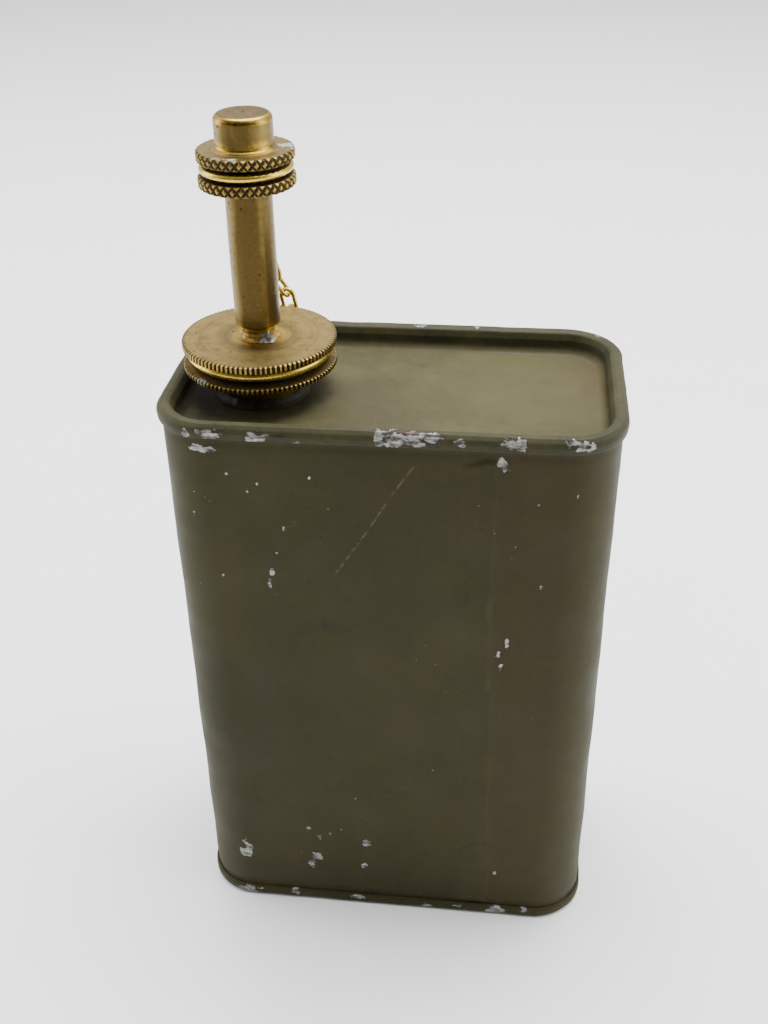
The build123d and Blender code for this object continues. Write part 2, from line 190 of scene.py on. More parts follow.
# ---------------------------------------------------------------- materials
class Mat:
    """A small builder for node materials."""
    def __init__(self, name):
        self.m = bpy.data.materials.new(name); self.m.use_nodes = True
        self.t = self.m.node_tree; self.t.nodes.clear()
        self.out = self.n("ShaderNodeOutputMaterial"); self.b = self.n("ShaderNodeBsdfPrincipled")
        self.link(self.b.outputs[0], self.out.inputs[0])
        self.pos = self.n("ShaderNodeTexCoord").outputs["Object"]

    def n(self, kind, **kw):
        nd = self.t.nodes.new(kind)
        for k, v in kw.items():
            setattr(nd, k, v)
        return nd

    def link(self, a, b):
        self.t.links.new(a, b)

    def put(self, sock, v):
        if isinstance(v, bpy.types.NodeSocket):
            self.link(v, sock)
        else:
            sock.default_value = v

    def attr(self, name):
        return self.n("ShaderNodeAttribute", attribute_name=name).outputs["Fac"]

    def noise(self, scale, detail=3.0, rough=0.55, vec=None, dist=0.0, offset=None):
        nd = self.n("ShaderNodeTexNoise"); v = vec or self.pos
        if offset:
            mp = self.n("ShaderNodeMapping"); self.link(v, mp.inputs[0]); mp.inputs["Location"].default_value = offset; v = mp.outputs[0]
        self.link(v, nd.inputs["Vector"])
        nd.inputs["Scale"].default_value = scale; nd.inputs["Detail"].default_value = detail
        nd.inputs["Roughness"].default_value = rough; nd.inputs["Distortion"].default_value = dist
        return nd.outputs["Fac"]

    def stretch(self, s, vec=None):
        mp = self.n("ShaderNodeMapping"); self.link(vec or self.pos, mp.inputs[0]); mp.inputs["Scale"].default_value = s
        return mp.outputs[0]

    def voro(self, scale, vec=None, feature="F1", out="Distance", rand=1.0):
        nd = self.n("ShaderNodeTexVoronoi", feature=feature); self.link(vec or self.pos, nd.inputs["Vector"])
        nd.inputs["Scale"].default_value = scale; nd.inputs["Randomness"].default_value = rand
        return nd.outputs[out]

    def math(self, op, a, b=0.0, c=0.0, clamp=False):
        nd = self.n("ShaderNodeMath", operation=op, use_clamp=clamp)
        self.put(nd.inputs[0], a); self.put(nd.inputs[1], b); self.put(nd.inputs[2], c)
        return nd.outputs[0]

    def ramp(self, v, a, b, c=0.0, d=1.0, smooth=True):
        nd = self.n("ShaderNodeMapRange", interpolation_type="SMOOTHSTEP" if smooth else "LINEAR", clamp=True)
        self.put(nd.inputs[0], v)
        for i, x in enumerate((a, b, c, d)):
            nd.inputs[i + 1].default_value = x
        return nd.outputs[0]

    def mix(self, f, a, b, blend="MIX"):
        nd = self.n("ShaderNodeMix", data_type="RGBA", blend_type=blend)
        self.put(nd.inputs["Factor"], f)
        A, B = nd.inputs[6], nd.inputs[7]
        self.put(A, a if isinstance(a, bpy.types.NodeSocket) else (*a, 1.0))
        self.put(B, b if isinstance(b, bpy.types.NodeSocket) else (*b, 1.0))
        return nd.outputs[2]

    def mixf(self, f, a, b):
        nd = self.n("ShaderNodeMix", data_type="FLOAT")
        self.put(nd.inputs[0], f); self.put(nd.inputs[2], a); self.put(nd.inputs[3], b)
        return nd.outputs[0]

    def bump(self, h, strength=0.3, dist=0.0002, normal=None):
        nd = self.n("ShaderNodeBump"); nd.inputs["Strength"].default_value = strength; nd.inputs["Distance"].default_value = dist
        self.link(h, nd.inputs["Height"])
        if normal is not None:
            self.link(normal, nd.inputs["Normal"])
        return nd.outputs[0]

    def done(self, color, rough, metal, normal=None, **const):
        self.put(self.b.inputs["Base Color"], color if isinstance(color, bpy.types.NodeSocket) else (*color, 1.0))
        self.put(self.b.inputs["Roughness"], rough); self.put(self.b.inputs["Metallic"], metal)
        if normal is not None:
            self.link(normal, self.b.inputs["Normal"])
        for k, v in const.items():
            self.b.inputs[k.replace("_", " ")].default_value = v
        return self.m


def paint(name, base, dark, light, warm, roll):
    m = Mat(name)
    big = m.noise(26, 4, 0.6, offset=(0.11, 0.07, 0.02)); mid = m.noise(110, 4, 0.6); fine = m.noise(900, 3, 0.6)
    streak = m.noise(1.0, 4, 0.6, vec=m.stretch((90, 90, 22)))
    col = m.mix(m.ramp(big, 0.36, 0.66), dark, base)
    col = m.mix(m.math("MULTIPLY", m.ramp(m.math("ADD", m.attr("warm"), m.math("MULTIPLY", m.math("SUBTRACT", m.noise(48, 4, 0.6, offset=(0.5, 0, 0)), 0.5), 1.4)), 0.1, 0.9), 0.75), col, warm)
    col = m.mix(m.math("MULTIPLY", m.ramp(mid, 0.5, 0.74), 0.40), col, light)
    col = m.mix(m.math("MULTIPLY", m.ramp(streak, 0.52, 0.72), 0.40), col, dark)
    # painted shade: the colour turns towards the darker roll and dark paint
    col = m.mix(m.attr("painted_shade"), col, m.mix(m.ramp(mid, 0.35, 0.7), roll, dark))
    col = m.mix(m.math("MULTIPLY", m.ramp(fine, 0.35, 0.7), 0.14), col, light)
    # dust and wear light on edges, with painted highlights along the seam's left side and on the rim top; dark stains
    # with painted shade; rubbed scratches
    wear_and_highlight = m.math("ADD", m.attr("wear_and_highlight"), m.math("MULTIPLY", m.math("SUBTRACT", mid, 0.5), 0.9))
    col = m.mix(m.math("MULTIPLY", m.ramp(wear_and_highlight, 0.25, 0.95), 0.50), col, (0.080, 0.082, 0.055))
    # real stains, plus painted shade: under the rim roll, round the neck under the cap and where the recess wall meets
    # the panel
    stain_and_shade = m.math("ADD", m.attr("stain_and_shade"), m.math("MULTIPLY", m.math("SUBTRACT", m.noise(420, 4, 0.65), 0.5), 0.9))
    st = m.ramp(stain_and_shade, 0.30, 0.85)
    col = m.mix(m.math("MULTIPLY", st, 0.80), col, (0.012, 0.009, 0.006))
    sc = m.math("MULTIPLY", m.ramp(m.attr("scratch"), 0.30, 0.95), m.ramp(m.noise(900, 3, 0.6), 0.34, 0.60))
    col = m.mix(m.math("MULTIPLY", sc, 0.55), col, (0.120, 0.128, 0.078))
    # pin-head specks in the paint
    speck = m.ramp(m.voro(430), 0.10, 0.05)
    keep = m.ramp(m.noise(75, 2, 0.5, offset=(0.3, 0, 0)), 0.60, 0.68)
    col = m.mix(m.math("MULTIPLY", m.math("MULTIPLY", speck, keep), 0.75), col, (0.014, 0.010, 0.006))
    dust = m.math("MULTIPLY", m.ramp(m.voro(610, out="Distance"), 0.07, 0.03), m.ramp(m.noise(60, 2, 0.5, offset=(0, 0.4, 0)), 0.60, 0.66))
    col = m.mix(m.math("MULTIPLY", dust, 0.8), col, (0.26, 0.26, 0.21))
    # chips down to the tinplate, with a darker primer rim
    rag = m.math("ADD", m.math("MULTIPLY", m.math("SUBTRACT", m.noise(520, 4, 0.68, vec=m.stretch((1, 1, 1.7))), 0.5), 1.9),
                 m.math("MULTIPLY", m.math("SUBTRACT", m.voro(900), 0.42), -0.45))
    edge = m.math("ADD", m.attr("chip"), rag)
    chip = m.ramp(edge, 0.50, 0.545); rim = m.ramp(edge, 0.30, 0.49)
    col = m.mix(m.math("MULTIPLY", rim, 0.60), col, (0.020, 0.017, 0.013))
    tin = m.mix(m.ramp(m.noise(800, 4, 0.65, vec=m.stretch((0.6, 0.6, 1.6))), 0.36, 0.66), (0.045, 0.040, 0.036), (0.33, 0.33, 0.31))
    pit = m.ramp(m.noise(1300, 2, 0.5, offset=(0.2, 0, 0)), 0.60, 0.68)
    tin = m.mix(m.math("MULTIPLY", pit, 0.8), tin, (0.030, 0.024, 0.022))
    tin = m.mix(m.math("MULTIPLY", m.ramp(m.noise(500, 2, 0.5, offset=(0, 0, 0.3)), 0.58, 0.68), 0.45), tin, (0.16, 0.075, 0.045))
    col = m.mix(chip, col, tin)
    rough = m.mixf(m.ramp(mid, 0.3, 0.7), 0.50, 0.62)
    rough = m.mixf(st, rough, 0.46); rough = m.mixf(chip, rough, 0.45)
    h = m.math("ADD", m.math("MULTIPLY", m.noise(700, 3, 0.55), 0.35), m.math("MULTIPLY", m.noise(2600, 2, 0.5), 0.16))
    h = m.math("ADD", h, m.math("MULTIPLY", chip, -0.7))
    h = m.math("ADD", h, m.math("MULTIPLY", sc, -0.3))
    nrm = m.bump(h, 0.30, 0.00010)
    return m.done(col, rough, m.math("MULTIPLY", chip, 0.45), nrm, Specular_IOR_Level=0.13)


def brass(name, dull, gold_and_glint, dark, bright=0.0, rough=(0.30, 0.46), turned=True):
    m = Mat(name)
    big = m.noise(150, 4, 0.6); mid = m.noise(520, 4, 0.65); fine = m.noise(2400, 3, 0.6)
    # brighter brass where worn or unworn, plus painted glints on the stem and knob
    g = m.math("ADD", m.attr("gold_and_glint"), m.math("MULTIPLY", m.math("SUBTRACT", big, 0.5), 1.1))
    col = m.mix(m.ramp(g, 0.2, 0.8), dull, gold_and_glint)
    col = m.mix(m.math("MULTIPLY", m.ramp(mid, 0.50, 0.78), 0.55), col, dark)
    # pale matte brass on worn crests, and painted light on up-facing tops
    pale_lit_mask = m.attr("pale_and_lit_top")
    col = m.mix(pale_lit_mask, col, m.mix(m.ramp(mid, 0.40, 0.72), (0.225, 0.165, 0.056), (0.145, 0.101, 0.032)))
    # an even patina, with painted dark reflections down the front of the stem and knob
    patina_reflection_mask = m.math("ADD", m.attr("patina_and_dark_reflection"), m.math("MULTIPLY", m.math("SUBTRACT", m.noise(1.0, 4, 0.6, vec=m.stretch((900, 900, 120))), 0.5), 0.9))
    col = m.mix(m.math("MULTIPLY", m.ramp(patina_reflection_mask, 0.15, 0.95), 0.85), col, (0.060, 0.037, 0.011))
    pits = m.math("MULTIPLY", m.ramp(m.voro(620), 0.20, 0.08), m.ramp(m.noise(190, 2, 0.5, offset=(0, 0.2, 0)), 0.50, 0.60))
    col = m.mix(m.math("MULTIPLY", pits, 0.75), col, (0.045, 0.026, 0.010))
    # dirt in hollows, plus painted shade in grooves, bores and under the caps
    grime_and_shade = m.math("ADD", m.attr("grime_and_shade"), m.math("MULTIPLY", m.math("SUBTRACT", mid, 0.5), 0.5))
    grime_shade_mask = m.ramp(grime_and_shade, 0.30, 0.85)
    col = m.mix(m.math("MULTIPLY", grime_shade_mask, 0.90), col, (0.030, 0.017, 0.008))
    ve = m.math("ADD", m.attr("verd"), m.math("MULTIPLY", m.math("SUBTRACT", m.noise(1300, 4, 0.65), 0.5), 1.3))
    vd = m.ramp(ve, 0.62, 0.92)
    col = m.mix(m.math("MULTIPLY", vd, 0.85), col, m.mix(m.noise(900, 2, 0.5), (0.15, 0.22, 0.16), (0.50, 0.51, 0.43)))
    r = m.mixf(m.ramp(fine, 0.3, 0.7), rough[0], rough[1])
    r = m.mixf(m.math("MULTIPLY", pale_lit_mask, 0.9), r, 0.60)
    r = m.mixf(grime_shade_mask, r, 0.62); r = m.mixf(vd, r, 0.85); r = m.mixf(m.math("MULTIPLY", pits, 0.8), r, 0.7)
    metal = m.math("SUBTRACT", 1.0, m.math("MAXIMUM", m.math("MULTIPLY", grime_shade_mask, 0.5), m.math("MULTIPLY", vd, 0.95)))
    h = m.math("ADD", m.math("MULTIPLY", mid, 0.22), m.math("MULTIPLY", fine, 0.10))
    h = m.math("ADD", h, m.math("MULTIPLY", pits, -0.5)); h = m.math("ADD", h, m.math("MULTIPLY", vd, 0.6))
    if turned:          # lathe marks: fine rings about the turning axis and along it
        mp = m.n("ShaderNodeMapping"); m.link(m.pos, mp.inputs[0]); mp.inputs["Location"].default_value = (-AX * MM, -AY * MM, 0)
        sx = m.n("ShaderNodeSeparateXYZ"); m.link(mp.outputs[0], sx.inputs[0])
        rad = m.math("SQRT", m.math("ADD", m.math("POWER", sx.outputs[0], 2.0), m.math("POWER", sx.outputs[1], 2.0)))
        cx = m.n("ShaderNodeCombineXYZ")
        m.link(m.math("MULTIPLY", rad, 5200.0), cx.inputs[0]); m.link(m.math("MULTIPLY", sx.outputs[2], 5200.0), cx.inputs[1])
        ln = m.n("ShaderNodeTexNoise"); m.link(cx.outputs[0], ln.inputs["Vector"]); ln.inputs["Scale"].default_value = 1.0; ln.inputs["Detail"].default_value = 3.0
        h = m.math("ADD", h, m.math("MULTIPLY", ln.outputs["Fac"], 0.30))
        cw = m.n("ShaderNodeTexNoise"); m.link(cx.outputs[0], cw.inputs["Vector"]); cw.inputs["Scale"].default_value = 0.28; cw.inputs["Detail"].default_value = 2.0
        col = m.mix(m.math("MULTIPLY", m.ramp(cw.outputs["Fac"], 0.45, 0.75), 0.35), col, dark)
    nrm = m.bump(h, 0.30, 0.00006)
    return m.done(col, r, metal, nrm)


# one olive paint in two copies: a darker one for the sides and foot as painted shade, and a lighter one for the top as
# painted overhead light
PAINT = paint("olive_paint", (0.0350, 0.0318, 0.0088), (0.0245, 0.0232, 0.0062), (0.0450, 0.0420, 0.0150), (0.0350, 0.0250, 0.0078), (0.0340, 0.0340, 0.0150))
PAINT_LIT_TOP = paint("olive_paint_top", (0.0620, 0.0555, 0.0235), (0.0410, 0.0370, 0.0150), (0.0820, 0.0745, 0.0370), (0.0520, 0.0400, 0.0170), (0.0270, 0.0270, 0.0125))
BRASS = brass("aged_brass", (0.162, 0.114, 0.036), (0.400, 0.262, 0.042), (0.074, 0.047, 0.013), rough=(0.27, 0.43))
WIRE = brass("bright_brass_wire", (0.50, 0.355, 0.050), (0.66, 0.480, 0.080), (0.24, 0.15, 0.025), rough=(0.24, 0.36), turned=False)


def solder_mat():
    m = Mat("soft_solder")
    a = m.noise(900, 4, 0.6); b = m.noise(700, 3, 0.6, offset=(0.1, 0, 0))
    col = m.mix(m.ramp(a, 0.35, 0.7), (0.20, 0.19, 0.165), (0.50, 0.49, 0.46))
    col = m.mix(m.math("MULTIPLY", m.ramp(b, 0.50, 0.62), 0.8), col, (0.05, 0.035, 0.02))
    blob = m.math("ADD", m.attr("blob"), m.math("MULTIPLY", m.math("SUBTRACT", a, 0.5), 0.8))
    col = m.mix(m.ramp(blob, 0.40, 0.60), m.mix(m.ramp(b, 0.4, 0.65), (0.50, 0.33, 0.085), (0.20, 0.12, 0.035)), col)
    return m.done(col, m.mixf(a, 0.38, 0.7), 0.75, m.bump(m.math("ADD", a, b), 0.5, 0.0001))


def leather_mat():
    m = Mat("oiled_leather")
    v = m.voro(1500, feature="DISTANCE_TO_EDGE"); a = m.noise(500, 4, 0.6)
    col = m.mix(m.ramp(a, 0.3, 0.7), (0.050, 0.026, 0.012), (0.13, 0.075, 0.034))
    col = m.mix(m.ramp(v, 0.06, 0.0), col, (0.02, 0.011, 0.006))
    return m.done(col, m.mixf(a, 0.35, 0.62), 0.0, m.bump(m.math("ADD", m.ramp(v, 0.0, 0.12), a), 0.5, 0.00008))


SOLDER = solder_mat()
LEATHER = leather_mat()

# --------------------------------------------------------------- marks, mm
# x, y, z of the middle, half width, half height
RIM = [
    (-31.3, -21.0, 107.2, 0.81, 0.72), (-27.5, -21.0, 107.3, 1.68, 0.94), (-20.1, -21.0, 107.4, 1.43, 0.96),
    (-18.2, -21.0, 107.6, 0.47, 0.36), (-0.4, -21.0, 108.0, 0.77, 1.23), (1.7, -21.0, 108.0, 1.92, 1.21),
    (5.0, -21.0, 108.3, 1.68, 1.17), (7.5, -21.0, 108.5, 1.59, 0.84), (12.1, -21.0, 107.8, 0.76, 0.52),
    (19.4, -21.0, 108.2, 0.90, 0.76), (20.8, -21.0, 107.5, 1.20, 1.27), (28.7, -20.8, 108.5, 0.67, 0.61),
    (30.5, -21.0, 108.2, 0.74, 0.83), (31.9, -20.8, 108.0, 0.96, 0.90), (36.4, -17.8, 108.7, 0.38, 0.70),
    (34.9, -20.4, 107.9, 0.29, 0.34), (-13.6, -21.0, 106.5, 0.71, 0.2), (2.6, 19.6, 108.9, 0.90, 0.65),
    (12.2, 19.6, 108.9, 0.4, 0.5), (33.9, 17.6, 108.9, 0.6, 0.6), (-24.0, 21.0, 107.6, 1.2, 0.7),
    (19.0, 21.0, 107.9, 1.6, 0.9), (38.0, 4.0, 108.0, 0.6, 0.8), (-38.0, -3.0, 107.5, 0.6, 0.9), (-38.0, 8.0, 108.0, 0.5, 0.6),
]
BODY = [
    (-29.8, 104.3, 0.98, 0.55), (-28.1, 104.2, 1.14, 0.59), (18.4, 104.8, 0.53, 0.97), (19.0, 103.4, 0.38, 0.80),
    (19.7, 102.8, 0.38, 0.36), (-25.2, 99.9, 0.20, 0.28), (-31.2, 95.9, 0.20, 0.29), (-31.6, 91.5, 0.21, 0.49),
    (-22.1, 96.8, 0.25, 0.28), (-20.3, 98.3, 0.20, 0.28), (-11.8, 99.9, 0.18, 0.28), (-18.0, 85.1, 0.42, 0.61),
    (-16.5, 90.1, 0.21, 0.49), (-19.0, 81.2, 0.34, 0.83), (-19.6, 79.0, 0.26, 0.94), (-27.5, 79.9, 0.18, 0.31),
    (-23.9, 78.9, 0.26, 0.31), (21.1, 88.7, 0.18, 0.39), (20.6, 69.1, 0.27, 0.97), (19.3, 66.6, 0.26, 0.77),
    (19.7, 63.6, 0.26, 0.67), (30.5, 98.4, 0.21, 0.64), (35.8, 103.4, 0.24, 0.71), (35.9, 67.3, 0.24, 0.54),
    (25.7, 81.1, 0.18, 0.40), (-28.8, 14.7, 0.51, 1.16), (-28.2, 12.6, 0.61, 1.90), (-29.7, 11.7, 0.62, 1.17),
    (-15.9, 20.2, 0.50, 0.56), (-13.7, 17.9, 0.40, 0.57), (-15.6, 10.5, 0.81, 1.46), (-14.3, 12.3, 0.81, 1.02),
    (-4.6, 17.0, 0.89, 1.13), (-5.2, 10.6, 0.60, 0.58), (20.6, 12.0, 0.39, 0.57), (35.8, 20.6, 0.37, 0.82),
    (-11.7, 19.0, 0.20, 0.28), (-9.5, 20.4, 0.20, 0.28), (-17.6, 13.3, 0.30, 0.43), (24.5, 97.0, 0.16, 0.2),
    (-34.0, 60.2, 0.2, 0.3), (8.2, 38.1, 0.16, 0.2), (-6.4, 29.0, 0.2, 0.24), (11.9, 14.2, 0.22, 0.2),
]
FOOT = [
    (-28.9, 1.3, 2.52, 0.9), (-19.1, 2.0, 1.04, 0.6), (-6.8, 1.9, 1.02, 0.5), (6.9, 0.8, 1.01, 0.7),
    (21.2, 1.2, 1.98, 1.1), (26.7, 2.0, 0.79, 0.5), (13.5, 1.6, 0.6, 0.4),
]
r2 = np.random.default_rng(21)
BACK = [(r2.uniform(-33, 33), r2.uniform(6, 103), r2.uniform(0.15, 0.5), r2.uniform(0.2, 0.7)) for _ in range(34)]
SIDE = [(s, r2.uniform(-11, 11), r2.uniform(6, 103), r2.uniform(0.15, 0.4), r2.uniform(0.2, 0.7)) for s in (-1, 1) for _ in range(9)]


def blobs(px, pz, marks):
    """Highest mark field at each point: 1 in the middle of a mark, 0.5 on its edge."""
    f = np.zeros(len(px))
    for x, z, w, h in marks:
        d = np.sqrt(((px - x) / (w + 0.05)) ** 2 + ((pz - z) / (h + 0.05)) ** 2)
        np.maximum(f, np.clip(1.14 - 0.64 * d, 0, 1.1), out=f)
    return f


def line_field(px, pz, pts, width):
    f = np.zeros(len(px))
    for (x0, z0), (x1, z1) in zip(pts[:-1], pts[1:]):
        ax, az = x1 - x0, z1 - z0; t = np.clip(((px - x0) * ax + (pz - z0) * az) / (ax * ax + az * az), 0, 1)
        d = np.hypot(px - x0 - ax * t, pz - z0 - az * t)
        np.maximum(f, np.clip(1 - d / width, 0, 1), out=f)
    return f


# ---------------------------------------------------------------------- tin
def loop_at(w, d, r, s):
    """Points and outward normals of a rounded rectangle. s holds (side, parameter)."""
    P, N = [], []
    hx, hy = w / 2 - r, d / 2 - r
    for kind, t in s:
        if kind == 0: P.append((-hx + 2 * hx * t, -d / 2)); N.append((0, -1))
        elif kind == 1: a = -math.pi / 2 + t * math.pi / 2; P.append((hx + r * math.cos(a), -hy + r * math.sin(a))); N.append((math.cos(a), math.sin(a)))
        elif kind == 2: P.append((w / 2, -hy + 2 * hy * t)); N.append((1, 0))
        elif kind == 3: a = t * math.pi / 2; P.append((hx + r * math.cos(a), hy + r * math.sin(a))); N.append((math.cos(a), math.sin(a)))
        elif kind == 4: P.append((hx - 2 * hx * t, d / 2)); N.append((0, 1))
        elif kind == 5: a = math.pi / 2 + t * math.pi / 2; P.append((-hx + r * math.cos(a), hy + r * math.sin(a))); N.append((math.cos(a), math.sin(a)))
        elif kind == 6: P.append((-w / 2, hy - 2 * hy * t)); N.append((-1, 0))
        else: a = math.pi + t * math.pi / 2; P.append((-hx + r * math.cos(a), -hy + r * math.sin(a))); N.append((math.cos(a), math.sin(a)))
    return np.array(P), np.array(N)


def stations(front, back, side, corner):
    s = []
    for kind, n in ((0, front), (1, corner), (2, side), (3, corner), (4, back), (5, corner), (6, side), (7, corner)):
        s += [(kind, i / n) for i in range(n)]
    return s


W, D, CR = 74.4, 40.4, 9.2
ST = stations(190, 64, 26, 24)
loopP, loopN = loop_at(W, D, CR, ST)
nu = len(ST)
zs = np.linspace(0.9, 107.7, 300)
nv = len(zs)
dent = waves(3, 10, 14, 46)
fineW = waves(5, 12, 3.5, 9)
X = np.repeat(loopP[:, 0], nv); Y = np.repeat(loopP[:, 1], nv); Z = np.tile(zs, nu)
NX = np.repeat(loopN[:, 0], nv); NY = np.repeat(loopN[:, 1], nv)
pts = np.stack([X, Y, Z], -1)
ends = sstep(2.7, 12, Z) * sstep(106.2, 95, Z)
push = 0.11 * dent(pts) * ends + 0.018 * fineW(pts) * ends
front = sstep(-0.6, -0.98, NY)
# soft oil-canning of the broad faces, a shallow dent and the swage above the foot
push -= 0.16 * ends * front * np.exp(-((X + 6) / 15) ** 2 - ((Z - 64) / 20) ** 2)
push += 0.10 * ends * sstep(0.6, 0.98, NY) * np.exp(-((X - 8) / 18) ** 2 - ((Z - 52) / 24) ** 2)
push -= 0.10 * front * np.exp(-((X + 16) / 5) ** 2 - ((Z - 12) / 5) ** 2)
push -= 0.12 * np.exp(-((Z - 3.6) / 0.9) ** 2)
push -= 0.10 * np.exp(-((Z - 105.6) / 0.8) ** 2)
# lapped side seam: the outer lap ends on a line that runs slightly to the right on the way down
edge_x = 17.6 + 1.3 * sstep(104, 8, Z) + 0.10 * np.sin(Z / 7.0)
in_x = 13.1 + 0.5 * sstep(104, 8, Z)
lap = front * sstep(edge_x + 0.22, edge_x - 0.22, X) * sstep(in_x - 1.6, in_x + 0.6, X)
notch = sstep(0.0, 0.8, 103.8 - Z - 3.2 * np.clip((X - 13.0) / 6.0, 0, 1) ** 0 * np.exp(-((X - 12.4) / 1.9) ** 2))
push += 0.26 * lap * sstep(104.9, 103.9, Z + 0.35 * np.clip(16.0 - X, 0, 3)) * sstep(2.9, 3.8, Z)
# the seam's solder shows as a soft ridge, and as a rounded pad above the foot
push += 0.10 * front * np.exp(-((X - edge_x - 0.35) / 0.45) ** 2) * sstep(3, 5, Z) * (0.7 + 0.3 * np.sin(Z / 3.1) * np.sin(Z / 1.7 + 1))
pad = np.sqrt(((X - 17.6) / 4.5) ** 2 + ((np.clip(Z - 15.0, 0, None)) / 5.0) ** 2)
push += 0.10 * front * sstep(1.06, 0.90, pad) * sstep(2.8, 3.6, Z)
push = np.clip(push, -0.6, 0.42)
outer = np.stack([X + NX * push, Y + NY * push, Z], -1)
# the inside follows the outside at every tenth level
lev = list(range(0, nv, 12)); lev = lev if lev[-1] == nv - 1 else lev + [nv - 1]
nw = len(lev); pick = (np.arange(nu)[:, None] * nv + np.array(lev)[None, :]).ravel()
ip = np.minimum(push[pick], 0.15) - 0.5
inner = np.stack([X[pick] + NX[pick] * ip, Y[pick] + NY[pick] * ip, Z[pick]], -1)
V = np.concatenate([outer, inner]); b0 = nu * nv
F = [tuple(f) for f in grid_faces(nu, nv)] + [tuple(f) for f in grid_faces(nu, nw, base=b0, flip=True)]
for j, jj, flip in ((0, 0, False), (nv - 1, nw - 1, True)):
    for i in range(nu):
        i2 = (i + 1) % nu
        q = (i * nv + j, b0 + i * nw + jj, b0 + i2 * nw + jj, i2 * nv + j)
        F.append(q[::-1] if flip else q)
isfront = NY < -0.7
chip = np.zeros(len(X))
chip[isfront] = blobs(X[isfront], Z[isfront], BODY)
isback = NY > 0.7
chip[isback] = blobs(X[isback], Z[isback], BACK)
for s in (-1, 1):
    k = NX * s > 0.7
    chip[k] = np.maximum(chip[k], blobs(Y[k], Z[k], [m[1:] for m in SIDE if m[0] == s]))
near_seam = front * np.exp(-((X - edge_x) / 0.5) ** 2)
chip = np.maximum(chip, 0.10 * near_seam)
chip = np.maximum(chip, 0.12 * sstep(5.0, 2.9, Z))
scratch = np.zeros(len(X))
scratch[isfront] = line_field(X[isfront], Z[isfront], [(4.7, 102.7), (1.4, 97.6), (-1.6, 92.3), (-5.2, 86.4), (-8.7, 80.7)], 0.34)
for pts_ in ([(-14, 92), (-17.5, 88.5)], [(9.0, 61), (12.5, 57.2)], [(-31, 44), (-28.5, 40)], [(3, 33), (0.2, 30.5)], [(25, 52), (27.4, 55)]):
    scratch[isfront] = np.maximum(scratch[isfront], 0.75 * line_field(X[isfront], Z[isfront], pts_, 0.3))
scratch[isback] = line_field(X[isback], Z[isback], [(-12, 88), (4, 70), (9, 61)], 0.4)
stain_and_shade = np.zeros(len(X))
stain_and_shade = np.maximum(stain_and_shade, front * 0.62 * np.exp(-((X + 9.5) / 5.5) ** 2 - ((Z - 70) / 2.4) ** 2))
stain_and_shade = np.maximum(stain_and_shade, front * 0.50 * np.exp(-((X + 7) / 3.0) ** 2 - ((Z - 76) / 2.0) ** 2))
# darker towards the foot, and a painted shadow band just under the rim roll
stain_and_shade = np.maximum(stain_and_shade, 0.50 * sstep(5.2, 2.6, Z) + 0.42 * sstep(103.2, 106.3, Z))
stain_and_shade = np.maximum(stain_and_shade, 0.5 * front * sstep(0.35, 0.0, np.abs(pad - 1.0) * 3) * (pad < 1.3) * (Z > 3))
wear_and_highlight = 0.25 * sstep(0.15, 0.0, np.abs(np.abs(NX) - np.abs(NY)) / 2 + 0.02)
# painted highlight: the left side of the lapped seam is lightened
wear_and_highlight = np.maximum(wear_and_highlight, 0.42 * front * np.exp(-((X - edge_x + 0.5) / 0.9) ** 2) * sstep(20, 26, Z) * (0.75 + 0.25 * np.sin(Z / 9.0)))
z0 = np.zeros(len(inner))
warm = 0.35 + 0.50 * sstep(edge_x - 1.5, edge_x + 1.5, X) * front - 0.30 * front * sstep(2, -26, X) * sstep(30, 60, Z)
att = {"chip": np.r_[chip, z0], "scratch": np.r_[scratch, z0], "stain_and_shade": np.r_[stain_and_shade, z0], "wear_and_highlight": np.r_[wear_and_highlight, z0], "warm": np.r_[warm, z0]}
make("body_shell_sheet", V, F, "tin", ["body_shell"], PAINT, att, sharp=60)


def seamed_end(name, prof, base, stations_, panel_inset, panel_z, hole, node, slot, mat, marks, up=True, dish=0.12):
    """A rolled rim or foot, without its panel. prof is the (inset, z) section, closed; base is (w, d, r) outside."""
    w, d, r = base
    st = stations_; n = len(st); m = len(prof)
    V = np.zeros((n, m, 3)); N = np.zeros((n, m, 2))
    wob = waves(11 if up else 12, 9, 6, 26)
    for j, (ins, z) in enumerate(prof):
        p, nn = loop_at(w - 2 * ins, d - 2 * ins, max(r - ins, 0.4), st)
        V[:, j, :2] = p; V[:, j, 2] = z; N[:, j] = nn
    k = wob(V.reshape(-1, 3)).reshape(n, m)
    vis = np.array([1.0 if q[0] < 3.0 else float(np.clip((3.9 - q[0]) / 0.9, 0, 1)) for q in prof])
    V[..., :2] -= N * (0.07 * np.abs(k) * vis)[..., None]
    V[..., 2] += 0.05 * k * vis * (1 if up else 0) - (0.05 if up else 0) * vis
    VV = V.reshape(-1, 3); F = [tuple(f) for f in grid_faces(n, m, True, True, flip=not up)]
    return VV, F, n, m, N.reshape(-1, 2)


